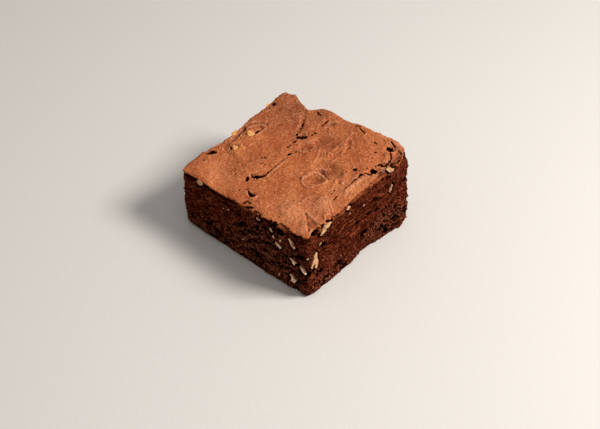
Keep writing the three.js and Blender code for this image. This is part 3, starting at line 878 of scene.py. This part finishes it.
def shape_sheet(sheet):
    """Gives the sheet its blisters, dents and wrinkles."""
    for path, *form in CRUST_RELIEF:
        press(sheet, path, *form)
    points = points_of(sheet)
    edge = weigh(sheet, "edge", unit(1 - from_sides(points) / (2.4 * MM)))
    torn = spots(points, TORN_EDGES) / MOST_SPOT
    tear = weigh(sheet, "tear", unit(1 - from_sides(points) / (2.0 * MM)) * (0.25 + 0.75 * torn))
    displace(sheet, clouds("swell", 9, 1), 0.7 * MM, direction="Z")
    displace(sheet, clouds("crinkle", 2.6, 3), 0.5 * MM, direction="Z")
    creases = ramp(clouds("creases", 5, 2), (0.45, 0.0), (0.5, 1.0), (0.55, 0.0))
    displace(sheet, creases, 0.26 * MM, middle=0.0, direction="Z")
    displace(sheet, clouds("pebbles", 0.9, 1), 0.22 * MM, direction="Z")
    displace(sheet, clouds("edge_lift", 5, 2), 0.9 * MM, edge, direction="Z")
    displace(sheet, clouds("edge_tear_x", 1.6, 3), 1.2 * MM, tear, direction="X")
    displace(sheet, clouds("edge_tear_y", 1.8, 3), 1.2 * MM, tear, direction="Y")
    points = points_of(sheet)
    # darker baked tone with painted shade, and paler patches that are partly a painted sheen
    stored(sheet, "dusk_and_shade", spots(points, DUSK_AND_SHADE_PLACES))
    stored(sheet, "pale", spots(points, PALE_AND_SHEEN_PLACES))
    stored(sheet, "frayed", unit(1.5 - from_sides(points) / (0.8 * MM)) * (0.15 + 0.75 * torn))
    store_rise(sheet)


NUT_WINDOW = 0.85  # how much of the box of a nut in the top shows


def nut_windows(points):
    """Which points lie where a nut breaks through the crust."""
    chosen = np.zeros(len(points), dtype=bool)
    for node in TOP_NUTS:
        low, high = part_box(node)
        middle = (low + high) / 2
        along = (points[:, 0] - middle.x) / (high.x - low.x) * 2
        across = (points[:, 1] - middle.y) / (high.y - low.y) * 2
        chosen |= np.hypot(along, across) < NUT_WINDOW
    return chosen


def finish_crust(crust):
    """Cracks the sheet, crumbles its edges and gives it its thickness."""
    centers = numbers_of(crust.data.polygons, "center", 3)
    delete_chosen(crust, (opening_depth(centers, chips=True) > 0) | nut_windows(centers), "FACE")
    smooth_rim(crust, 2)
    crust.data.materials.append(CRUST)
    crust.data.materials.append(CRUST_EDGE)
    modify(crust, "SOLIDIFY", thickness=CRUST_THICKNESS, offset=-1, material_offset_rim=1)
    displace(crust, clouds("uneven_thickness", 0.8, 1), 0.16 * MM)
    thin_to_limit(crust)
    shade_smooth(crust)


# ------------ the crumb

# Hollows of each side: place along it and height, reach along and up, and depth.
HOLLOWS = {
    "front": [
        (7, 7.9, 2.8, 2.6, 2.4), (16.7, 9.3, 2.2, 1.5, 1.6), (31.2, 2, 2.4, 2.4, 2.4),
        (22.4, 30.8, 2.6, 1.9, 2.4), (-24.5, 27.4, 2.4, 1.2, 1), (1.5, 18.6, 2.2, 1.2, 1.2),
        (12.4, 14, 2, 1.2, 1.3), (25.6, 11.8, 1.9, 1.3, 1.5), (-8, 6, 2.4, 1.4, 1.3),
        (24.5, 20, 2.2, 1.1, 1.2), (-2.8, 25.6, 2.6, 1, 0.9), (17.6, 30.2, 1.5, 1, 1.3),
    ],
    "right": [
        (3.9, 13.2, 2.8, 2.7, 2.4), (-23.4, 25.9, 2, 1.7, 2), (-28.6, 36.2, 2.8, 2, 2.4),
        (-13.5, 8.2, 2.2, 1.2, 1.4), (12, 22.4, 2.4, 1, 1.2), (25, 15.5, 1.6, 1.4, 1.5),
        (-8.8, 20, 2, 0.9, 1), (16, 8.4, 2.6, 1.4, 1.5), (-20.5, 5, 1.4, 1.2, 1.4),
        (28, 27, 1.4, 1, 1.2), (10.2, 14.2, 1.3, 1.6, 1.6), (25.4, 8.4, 2.6, 2, 2),
        (-28.2, 6.9, 1.7, 1.5, 1.8), (16.4, 19.4, 1.8, 1.1, 1.2), (-5.4, 23.2, 1.5, 0.8, 1),
    ],
}
PORE_COUNT = 160  # further pores, anywhere on the four cut sides
PORE_SIZES = (0.4, 1.1)  # the smallest one's height, and how much higher the largest is
PORE_HEIGHTS = (1.0, 34.0)  # the lowest and the highest place
DEEPEST = 2.4  # the deepest hollow, in millimetres
OPENING_DEPTH = 2.0 * MM  # how far the crumb lies sunk in the crust's openings
LIP_DEPTH = 1.0 * MM  # how far the crumb stands back under the crust's edge
SEAT_DEPTH = 0.6 * MM  # how far it stands back behind the nuts
SIDE_DEPTH = 6 * MM  # how far in the points of a side may lie
FULLER = 0.45 * MM  # how far the sides grow before the knife and the pores cut into them

# Where the knife dragged the crumb smooth, and where it broke open, on each side: place
# along it and height, the two reaches, and how much.
SMEARS = {
    "front": [(-26, 22, 16, 9, 1), (-8, 27, 14, 4, 0.8)],
    "right": [(0, 30, 30, 10, 0.6), (-16, 22, 14, 10, 0.5), (2, 15, 13, 9, 0.6)],
    "left": [(4, 20, 16, 8, 0.9)],
    "back": [(-10, 24, 18, 8, 0.7)],
}
BROKEN = {
    "front": [(14, 14, 26, 17, 1), (-14, 5, 26, 8, 0.8)],
    "right": [(20, 10, 20, 9, 1), (-22, 5, 16, 6, 0.7)],
    "back": [(14, 12, 26, 14, 1)],
    "left": [(-8, 8, 24, 9, 1)],
}


def placed(table):
    """The rows of a table, each with its side in front."""
    return [(side, *row) for side, rows in table.items() for row in rows]


def along_side(points, side):
    """How far along a side each point lies."""
    return points[:, 0 if side in ("front", "back") else 1].astype(float)


def side_distance(points, side, along, up, reach_along, reach_up):
    """How far each point is from a place of a side, as a share of the reaches."""
    outward = OUTWARD[side]
    half_out = HALF_X if side in ("left", "right") else HALF_Y
    depth = MIDDLE.dot(outward) + half_out - points @ np.array(outward)
    aside = (along_side(points, side) / MM - along) / reach_along
    above = (points[:, 2] / MM - up) / reach_up
    return np.where(depth < SIDE_DEPTH, np.hypot(aside, above), FAR)


def further_pores():
    """Pores anywhere on the cut sides, more of them the smaller they are."""
    dice = random.Random(5)
    pores = []
    for _ in range(PORE_COUNT):
        side = dice.choice(("front", "front", "right", "right", "back", "left"))
        half = (HALF_X if side in ("front", "back") else HALF_Y) / MM
        along = dice.uniform(-half, half)
        up = dice.uniform(*PORE_HEIGHTS)
        size = PORE_SIZES[0] + PORE_SIZES[1] * dice.random() ** 2.5
        pores.append((side, along, up, size * dice.uniform(1.2, 2.6), size, size * 1.2))
    return pores


def hollow_weights(points, hollows):
    """How deep each point lies in the hollows, as a share of the deepest."""
    weights = np.zeros(len(points))
    for side, along, up, reach_along, reach_up, depth in hollows:
        away = side_distance(points, side, along, up, reach_along, reach_up)
        weights = np.maximum(weights, unit(1.5 * (1 - away)) * depth / DEEPEST)
    return weights


def zone(points, places):
    """How strongly each point lies in zones of the sides, from 0 to 1."""
    weights = np.zeros(len(points))
    for side, along, up, reach_along, reach_up, amount in places:
        away = side_distance(points, side, along, up, reach_along, reach_up)
        weights = np.maximum(weights, unit(1.6 * (1 - away)) * amount)
    return weights


def nut_seats(points):
    """How near each point is to the outline of a nut that shows at a side, from 0 to 1."""
    weights = np.zeros(len(points))
    for node in SIDE_NUTS:
        side = node.split("_")[1]
        outline = np.array(NUT_OUTLINES[node])
        center = outline.mean(axis=0)
        near = side_distance(points, side, *center, 8, 8) < 1
        flat = np.column_stack((along_side(points[near], side), points[near, 2])) / MM
        gaps = np.full(len(flat), FAR)
        for share in (0.0, 0.33, 0.67):
            for size in (1.0, 0.6, 0.2):
                marks = outline * (1 - share) + np.roll(outline, -1, axis=0) * share
                marks = center + size * (marks - center)
                away = np.linalg.norm(flat[:, None, :] - marks[None, :, :], axis=2)
                gaps = np.minimum(gaps, away.min(axis=1))
        weights[near] = np.maximum(weights[near], unit(1.5 - gaps / 0.8))
    return weights


def under_edge(points):
    """How far each point lies below the highest one in its millimetre of the plan."""
    cells = np.round(points[:, :2] / MM).astype(int)
    _, column = np.unique(cells, axis=0, return_inverse=True)
    column = column.ravel()
    tops = np.full(column.max() + 1, -1.0)
    np.maximum.at(tops, column, points[:, 2])
    return tops[column] - points[:, 2]


def make_crumb(sheet):
    """The block under the crust: lowered by the crust's thickness, sunk where the crust is
    open, then clumped, pored and grained on its cut sides."""
    crumb = make_block("crumb", CRUMB_CELL, CRUST_THICKNESS + CRUST_GAP)
    points = points_of(crumb)
    normals = numbers_of(crumb.data.vertices, "normal", 3)
    upward = on_top(points, normals)
    inner = weigh(crumb, "under_crust", upward & (from_sides(points) > 2.2 * MM))
    drop_on(crumb, sheet, up_too=True, group=inner)
    displace(crumb, None, -(CRUST_THICKNESS + CRUST_GAP), inner, 0.0, "Z")
    openings = opening_depth(points, chips=True)
    open_top = weigh(crumb, "open_top", upward * unit(opening_depth(points) / 0.5 + 0.7))
    displace(crumb, None, -OPENING_DEPTH, open_top, 0.0, "Z")

    points = points_of(crumb)
    upright = np.clip((1 - np.abs(normals[:, 2])) * 1.6, 0.1, 1)
    at_base = np.clip(points[:, 2] / (0.8 * MM), 0.05, 1)
    below_edge = under_edge(points)
    broken = zone(points, placed(BROKEN))
    smear = zone(points, placed(SMEARS)) * (1 - 0.8 * broken)
    torn = spots(points, TORN_EDGES) / MOST_SPOT
    seats = nut_seats(points)
    lip = unit(1 - np.abs(below_edge - 0.7 * MM) / (1.1 * MM)) * upright * (1 - torn) * (1 - seats)
    chipped = upward & (openings > -0.4)
    rough = np.maximum(upright, chipped) * at_base * (1 - 0.9 * seats)
    cut = weigh(crumb, "cut_sides", rough * (1 - 0.5 * smear))
    open_crumb = weigh(crumb, "open_crumb", rough * (0.3 + 0.7 * broken) * (1 - 0.8 * smear))
    dragged = weigh(crumb, "dragged", rough * unit(0.2 + smear))
    pored = hollow_weights(points, further_pores()) * (1 - 0.8 * smear)
    sunk = np.maximum(pored, hollow_weights(points, placed(HOLLOWS)))
    hollows = weigh(crumb, "hollows", sunk * at_base * (1 - seats))

    displace(crumb, None, FULLER, weigh(crumb, "fuller", upright * at_base * (1 - seats)), 0.0)
    displace(crumb, None, -LIP_DEPTH, weigh(crumb, "under_lip", lip), 0.0)
    displace(crumb, None, -DEEPEST * MM, hollows, 0.0)
    displace(crumb, None, -SEAT_DEPTH, weigh(crumb, "nut_seats", seats), 0.0)
    displace(crumb, clouds("lumps", 6, 1), 1.0 * MM, cut)
    beds = grain_axes("crumb_beds", 2.6)
    bands = ramp(clouds("bands", 1.7, 2), (0.0, 1.0), (0.38, 1.0), (0.50, 0.0))
    displace(crumb, bands, -1.3 * MM, open_crumb, 0.0, axes=beds)
    displace(crumb, clouds("beds", 0.8, 2), 0.6 * MM, cut, axes=beds)
    displace(crumb, texture("clods", "VORONOI", 2.3 * MM, noise_intensity=1.1), -0.9 * MM, open_crumb, 0.4)
    displace(crumb, texture("nubs", "VORONOI", 1.0 * MM, noise_intensity=1.1), -0.5 * MM, open_crumb, 0.4)
    displace(crumb, clouds("grain", 0.6, 2), 0.5 * MM, cut)
    remove(beds)
    strokes = grain_axes("knife_strokes", 5)
    displace(crumb, clouds("strokes", 0.8, 2), 0.9 * MM, dragged, axes=strokes)
    remove(strokes)

    moved = points_of(crumb)
    depth = ((moved - points) * normals).sum(axis=1) - FULLER
    # the crumb's colour paints shade in the pores and a highlight on the raised tips from this
    stored(crumb, "relief", unit(0.66 + depth / (2.2 * MM)))
    stored(crumb, "smear", smear)
    # the crumb's colour pales the grains here, partly a painted glint
    stored(crumb, "broken", broken)
    stored(crumb, "torn", unit(1.7 - below_edge / (0.9 * MM)) * (0.15 + 0.85 * torn))
    above_base = unit((points[:, 2] - 0.8 * MM) / MM)
    stored(crumb, "shedding", rough * above_base * (1 - smear) * np.maximum(broken, 0.25) * (1 - lip))
    crumb.data.materials.append(CRUMB)
    thin_hidden(crumb, upward & (from_sides(points) > 3 * MM) & (openings < -0.8))
    thin_to_limit(crumb)
    shade_smooth(crumb)
    shade_base_flat(crumb)
    return crumb


# ------------ loose grains


def make_grain(detail, flatness, material):
    """One uneven grain, a metre across, for scattering at its true size."""
    bpy.ops.mesh.primitive_ico_sphere_add(subdivisions=detail, radius=0.5)
    grain = named("grain")
    grain.scale = (1, 1, flatness)
    settle(grain)
    displace(grain, texture("grain_form", "CLOUDS", 0.6, noise_depth=1), 0.7)
    grain.data.materials.append(material)
    shade_smooth(grain)
    return grain


def scatter(surface, name, grain, density, per_square_mm, smallest, largest, seed):
    """Strews copies of a grain over a surface, as densely as its stored values say, and
    keeps the grains alone, as one mesh."""
    strewn = copy_of(surface, name)
    tree = bpy.data.node_groups.new(name, "GeometryNodeTree")
    for way in ("INPUT", "OUTPUT"):
        tree.interface.new_socket("Geometry", in_out=way, socket_type="NodeSocketGeometry")
    start = add_node(tree, "NodeGroupInput")
    share = add_node(tree, "GeometryNodeInputNamedAttribute", {"Name": density}, data_type="FLOAT")
    inputs = {0: share, 1: per_square_mm / MM ** 2}
    dense = add_node(tree, "ShaderNodeMath", inputs, operation="MULTIPLY")
    inputs = {"Mesh": start, "Density": dense, "Seed": seed}
    points = add_node(tree, "GeometryNodeDistributePointsOnFaces", inputs, "Points")
    inputs = {0: (0.0,) * 3, 1: (math.tau,) * 3, "Seed": seed + 1}
    turn = add_node(tree, "FunctionNodeRandomValue", inputs, data_type="FLOAT_VECTOR")
    inputs = {0: (smallest * MM,) * 3, 1: (largest * MM,) * 3, "Seed": seed + 2}
    size = add_node(tree, "FunctionNodeRandomValue", inputs, data_type="FLOAT_VECTOR")
    copied = add_node(tree, "GeometryNodeObjectInfo", {"Object": grain}, "Geometry")
    inputs = {"Points": points, "Instance": copied, "Rotation": turn, "Scale": size}
    instances = add_node(tree, "GeometryNodeInstanceOnPoints", inputs)
    real = add_node(tree, "GeometryNodeRealizeInstances", {0: instances})
    add_node(tree, "NodeGroupOutput", {0: real})
    modify(strewn, "NODES", node_group=tree)
    remove(grain)
    return strewn


# ------------ the nuts

# The outline in which each chopped nut shows: places along its side and heights, or places
# along X and Y on the top, in millimetres.
NUT_OUTLINES = {
    "nut_front_1": [(-29, 30.5), (-27.2, 31.7), (-25.4, 31.4), (-25, 30.2), (-26.5, 29), (-28.2, 29.1)],
    "nut_front_2": [(7.9, 30.6), (9, 31.4), (10.4, 31), (10, 29.9), (8.5, 29.7)],
    "nut_front_3": [
        (26.5, 30.3), (27.5, 30.4), (29.4, 28.7), (30.7, 26.9), (30.4, 25.9), (29.5, 25.8), (28, 27.3),
        (26.9, 28.8),
    ],
    "nut_front_4": [
        (18.8, 23.4), (20.1, 23.2), (21.7, 22.4), (22.8, 21.4), (21.5, 21.1), (20.1, 21.7), (19.3, 22.4),
    ],
    "nut_front_5": [
        (27.4, 19.1), (28.7, 19.2), (30.1, 18.7), (31.6, 18.6), (30.6, 17.7), (30.2, 16.2), (29.3, 16.8),
        (28.7, 17.9),
    ],
    "nut_front_6": [
        (33.2, 18.1), (34.4, 17.8), (35.9, 16.5), (37.1, 15.1), (36.2, 14.9), (34.9, 15.6), (33.8, 16.8),
    ],
    "nut_front_7": [
        (27.6, 9.5), (28.9, 9.1), (29.8, 7.9), (31.5, 7.6), (30.7, 6.1), (29.9, 5.1), (28.8, 5.9),
        (28, 5.9), (28.6, 7.6),
    ],
    "nut_right_1": [
        (-28.5, 25.7), (-27.6, 24.4), (-27.7, 21.7), (-27, 19.4), (-27.2, 16.9), (-28.2, 15.1),
        (-28.9, 16), (-28.9, 18.2), (-29.7, 18.6), (-31, 16.9), (-31.6, 17.6), (-31, 19.9),
        (-29.9, 21.6), (-29.8, 23.9),
    ],
    "nut_right_2": [
        (-26.2, 33), (-24, 35.5), (-21.2, 36.8), (-18.5, 36.3), (-19.8, 34.8), (-22.4, 33.4),
        (-25, 32.4),
    ],
    "nut_right_3": [(-9, 36.2), (-8.7, 37.3), (-7, 37.3), (-6.1, 36.3), (-7.5, 35.4)],
    "nut_right_4": [(17.8, 41.6), (20.2, 42), (21.8, 41), (21.1, 39.8), (18.9, 40.3)],
    "nut_right_5": [(21.4, 32), (22.6, 30.6), (22.1, 28.6), (20.8, 27), (19.8, 28.3), (21, 30.3)],
    "nut_top_1": [(-31.9, 1.9), (-31.2, 3), (-29.4, 3.6), (-28, 3), (-27, 1.9), (-28.5, -0.3), (-30.5, 0.2)],
    "nut_top_2": [(-30.4, -9.8), (-30.8, -8.2), (-29.2, -7.2), (-27.5, -7.8), (-27.4, -9.2), (-28.2, -10.2)],
}
CHIP_TAPER = 0.7  # the size of a chip's inner end beside its outer face


def on_side(side, along, up, face):
    """The place of a side at two coordinates in millimetres; face is the third, in metres."""
    if side == "top":
        return Vector((along * MM, up * MM, face))
    if side in ("front", "back"):
        return Vector((along * MM, face, up * MM))
    return Vector((face, along * MM, up * MM))


def make_chip(name, side, outline, face, depth):
    """A chip of nut with this outline: a prism that goes in from its outer face and tapers."""
    corners = [on_side(side, along, up, face) for along, up in outline]
    bpy.ops.mesh.primitive_circle_add(vertices=len(corners), radius=MM, fill_type="NGON")
    chip = named(name)
    for index, corner in enumerate(corners):
        chosen = np.arange(len(corners)) == index
        move_chosen(chip, chosen, corner - chip.data.vertices[index].co)
    edit_chosen(chip, np.ones(len(corners), dtype=bool))
    bpy.ops.mesh.extrude_region_move(TRANSFORM_OT_translate={"value": -OUTWARD[side] * depth * MM})
    bpy.ops.transform.resize(value=(CHIP_TAPER,) * 3)
    bpy.ops.mesh.select_all(action="SELECT")
    bpy.ops.mesh.normals_make_consistent(inside=False)
    mode("OBJECT")
    return chip


def finish_nut(nut, material, cell):
    voxel_remesh(nut, cell)
    modify(nut, "SMOOTH", factor=0.5, iterations=4)
    displace(nut, clouds("nut_facets", 2.0, 1), 0.35 * MM)
    displace(nut, clouds("nut_ridges", 0.7, 1), 0.14 * MM)
    modify(nut, "DECIMATE", ratio=0.5)
    nut.data.materials.append(material)
    shade_smooth(nut)


WARMER_NUTS = ("nut_front_1", "nut_front_3")
NUT_SINK = 0.15 * MM  # how far the flesh stays below the CAD nut's crown
NUT_CELL = 0.15 * MM
NUT_DEPTH = 2.2  # how far in a nut goes, in millimetres


def make_nut(node, material):
    """A chopped nut in its CAD node's place, a little proud of the crumb."""
    side = node.split("_")[1]
    outward = OUTWARD[side]
    low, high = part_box(node)
    outer = max(low.dot(outward), high.dot(outward)) - (0 if side == "top" else NUT_SINK)
    face = outer * sum(outward)
    nut = make_chip(node + "_flesh", side, NUT_OUTLINES[node], face, NUT_DEPTH)
    finish_nut(nut, material, NUT_CELL)
    return nut


# Small scraps of nut on each side: place along it, height or second place, length,
# breadth and lean.
FRONT_SCRAPS = {
    "front": [
        (16.4, 28.2, 2.6, 1, -30), (22.4, 26.4, 1.1, 0.9, 20), (-0.1, 12.9, 1.1, 0.6, 60),
        (37, 23.9, 1.6, 0.7, 75), (21.4, 5.2, 1.1, 0.7, 0), (-12.9, 23.4, 0.7, 0.5, 30),
        (-8.7, 25.6, 0.8, 0.5, 70), (18.2, 26, 1.6, 0.4, -40),
    ],
}
SIDE_SCRAPS = {
    "right": [(-25.7, 28.1, 2.4, 1, 50), (2.6, 31.6, 1.6, 0.7, 60), (-7, 33.2, 1.2, 0.5, 60)],
    "back": [
        (21, 30, 4.6, 1.9, 60), (-4.5, 12.5, 3.8, 1.7, -40), (12, 22, 3, 1.5, 75),
        (-28, 26, 3.6, 1.6, 20), (30, 9, 2.6, 1.4, -65), (-16, 33.5, 2.4, 1.2, 85),
    ],
    "left": [
        (-22, 11.5, 4.2, 1.8, -30), (19, 24, 5, 1.9, 65), (-6, 18, 2.8, 1.4, 80), (8, 7, 2.4, 1.5, -50),
        (27, 13, 3.4, 1.6, 10), (-29, 25, 2.2, 1.2, 70),
    ],
}
TOP_SCRAPS = {
    "top": [
        (-36.8, -1.4, 4.6, 2, -15), (-37.6, 21.8, 3.2, 1.3, -10), (-33.7, -12.4, 1, 0.8, 0),
        (-31.9, -2, 1, 0.7, 30), (-31, -10.6, 1.3, 0.7, -40), (-26.9, -6.9, 1.2, 0.6, 50),
    ],
}
SCRAP_CELL = 0.13 * MM
SCRAP_LIFT = 0.25 * MM  # how far a scrap stands out
# the corners of a splinter, as shares of its length and breadth
SCRAP_FORM = ((0.5, -0.1), (0.2, 0.5), (-0.3, 0.4), (-0.5, 0.1), (-0.2, -0.5), (0.3, -0.4))


def surface_near(surface, side, along, up):
    """How far out the surface of a side stands round a place, or nothing where it is open."""
    outward = OUTWARD[side]
    outside = 4 * TOP_Z * sum(outward)
    heights = []
    for aside, higher in ((0, 0), (0.8, 0), (-0.8, 0), (0, 0.8), (0, -0.8)):
        start = on_side(side, along + aside, up + higher, outside)
        hit, place, _, _ = surface.ray_cast(start, -outward)
        if hit:
            heights.append(place.dot(outward))
    return max(heights, default=None)


def make_scrap(surface, dice, side, along, up, length, breadth, lean):
    """One scrap of nut, lying in the surface of its side: a splinter with uneven ends."""
    height = surface_near(surface, side, along, up)
    if height is None:
        return None
    cos, sin = math.cos(math.radians(lean)), math.sin(math.radians(lean))
    outline = []
    for long, broad in SCRAP_FORM:
        long = (long + dice.uniform(-0.08, 0.08)) * length
        broad = (broad + dice.uniform(-0.1, 0.1)) * breadth
        outline.append((along + long * sin + broad * cos, up + long * cos - broad * sin))
    face = (height + SCRAP_LIFT) * sum(OUTWARD[side])
    return make_chip("scrap", side, outline, face, 0.8 + breadth * 0.5)


def make_scraps(name, surface, places, material):
    dice = random.Random(name)
    scraps = [make_scrap(surface, dice, *place) for place in placed(places)]
    scraps = join([scrap for scrap in scraps if scrap], name)
    finish_nut(scraps, material, SCRAP_CELL)
    return scraps


# ------------ making the brownie


def keep(piece, slot, *nodes):
    """Makes a finished piece ride with the brownie and stand for its CAD nodes."""
    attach(piece, "root")
    for node in nodes:
        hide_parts(node)


crust = make_sheet()
shape_sheet(crust)
crumb = make_crumb(crust)
finish_crust(crust)
keep(crumb, "crumb", "brownie")
keep(crust, "crust")
for node in SIDE_NUTS:
    # the front nuts get the flesh painted lighter, as painted light on the shaded side
    flesh = NUT_RAW if "right" in node or node in WARMER_NUTS else NUT_PAINTED_LIGHTER
    keep(make_nut(node, NUT_STAINED if node == "nut_right_5" else flesh), "nut", node)
for node in TOP_NUTS:
    keep(make_nut(node, NUT_TOASTED), "nut", node)
# the front scraps also get the flesh painted lighter, as painted light on the shaded side
keep(make_scraps("front_nut_scraps", crumb, FRONT_SCRAPS, NUT_PAINTED_LIGHTER), "nut")
keep(make_scraps("small_nut_scraps", crumb, SIDE_SCRAPS, NUT_STAINED), "nut")
keep(make_scraps("crust_nut_scraps", crust, TOP_SCRAPS, NUT_TOASTED), "nut")
grain = make_grain(2, 0.8, LOOSE_CRUMB)
keep(scatter(crumb, "clinging_crumbs", grain, "shedding", 0.35, 0.5, 1.4, 21), "crumb")
grain = make_grain(1, 0.8, LOOSE_CRUMB)
keep(scatter(crumb, "crumb_grains", grain, "shedding", 1.1, 0.25, 0.7, 31), "crumb")

# ------------ floor, light and camera


def make_floor():
    bpy.ops.mesh.primitive_plane_add(size=6, location=(0, 0, 0))
    floor = named("floor")
    material, tree, place = new_material("matt_card")
    speck = add_node(tree, "ShaderNodeTexNoise", {"Vector": place, "Scale": per_mm(1.5)})
    color = coated(tree, srgb("#d6d2cd"), (speck, 0.0, 1.0, 1.0, "#dedad5"))
    normal = add_node(tree, "ShaderNodeBump", {"Height": speck, "Distance": 0.02 * MM})
    finish_material(tree, color, normal, 0.9)
    floor.data.materials.append(material)


def aim(thing, target):
    thing.rotation_euler = (target - thing.location).to_track_quat("-Z", "Y").to_euler()


def towards(azimuth, elevation):
    """The direction to a place round the brownie. Azimuth 0 is in front, 90 at the right."""
    turn, lift = math.radians(azimuth), math.radians(elevation)
    return Vector((math.sin(turn) * math.cos(lift), -math.cos(turn) * math.cos(lift), math.sin(lift)))


def add_lamp(name, azimuth, elevation, distance, size, watts, color):
    """A square soft light that looks at the brownie."""
    bpy.ops.object.light_add(type="AREA")
    lamp = bpy.context.object
    lamp.name = name
    lamp.location = distance * towards(azimuth, elevation)
    lamp.data.shape = "SQUARE"
    lamp.data.size = size
    lamp.data.energy = watts
    lamp.data.color = color
    aim(lamp, Vector((0, 0, TOP_Z / 2)))


def set_light():
    world = bpy.data.worlds.new("studio")
    bpy.context.scene.world = world
    world.use_nodes = True
    background = world.node_tree.nodes["Background"]
    background.inputs["Color"].default_value = srgb("#f4f1ee")
    background.inputs["Strength"].default_value = 0.3
    add_lamp("key", 118, 45, 0.9, 0.3, 8.9, (1.0, 0.97, 0.93))
    add_lamp("top_fill", 30, 78, 1.0, 0.7, 1.2, (1.0, 0.98, 0.96))
    bpy.context.scene.view_settings.view_transform = "Standard"


CAMERA_AZIMUTH = 42.1
CAMERA_ELEVATION = 42.2
CAMERA_DISTANCE = 545 * MM
CAMERA_LENS = 72.9
CAMERA_TARGET = (0.1494, -0.1427, 0.4084)  # from the middle of the base, as shares of the size


def set_camera():
    right, back, up = CAMERA_TARGET
    target = MIDDLE + Vector((right * 2 * HALF_X, back * 2 * HALF_Y, up * TOP_Z - MIDDLE.z))
    direction = towards(CAMERA_AZIMUTH, CAMERA_ELEVATION)
    bpy.ops.object.camera_add(location=target + CAMERA_DISTANCE * direction)
    camera = bpy.context.object
    camera.data.lens = CAMERA_LENS
    camera.data.sensor_width = 36
    camera.data.clip_start = 0.01
    aim(camera, target)
    bpy.context.scene.camera = camera


make_floor()
set_light()
set_camera()
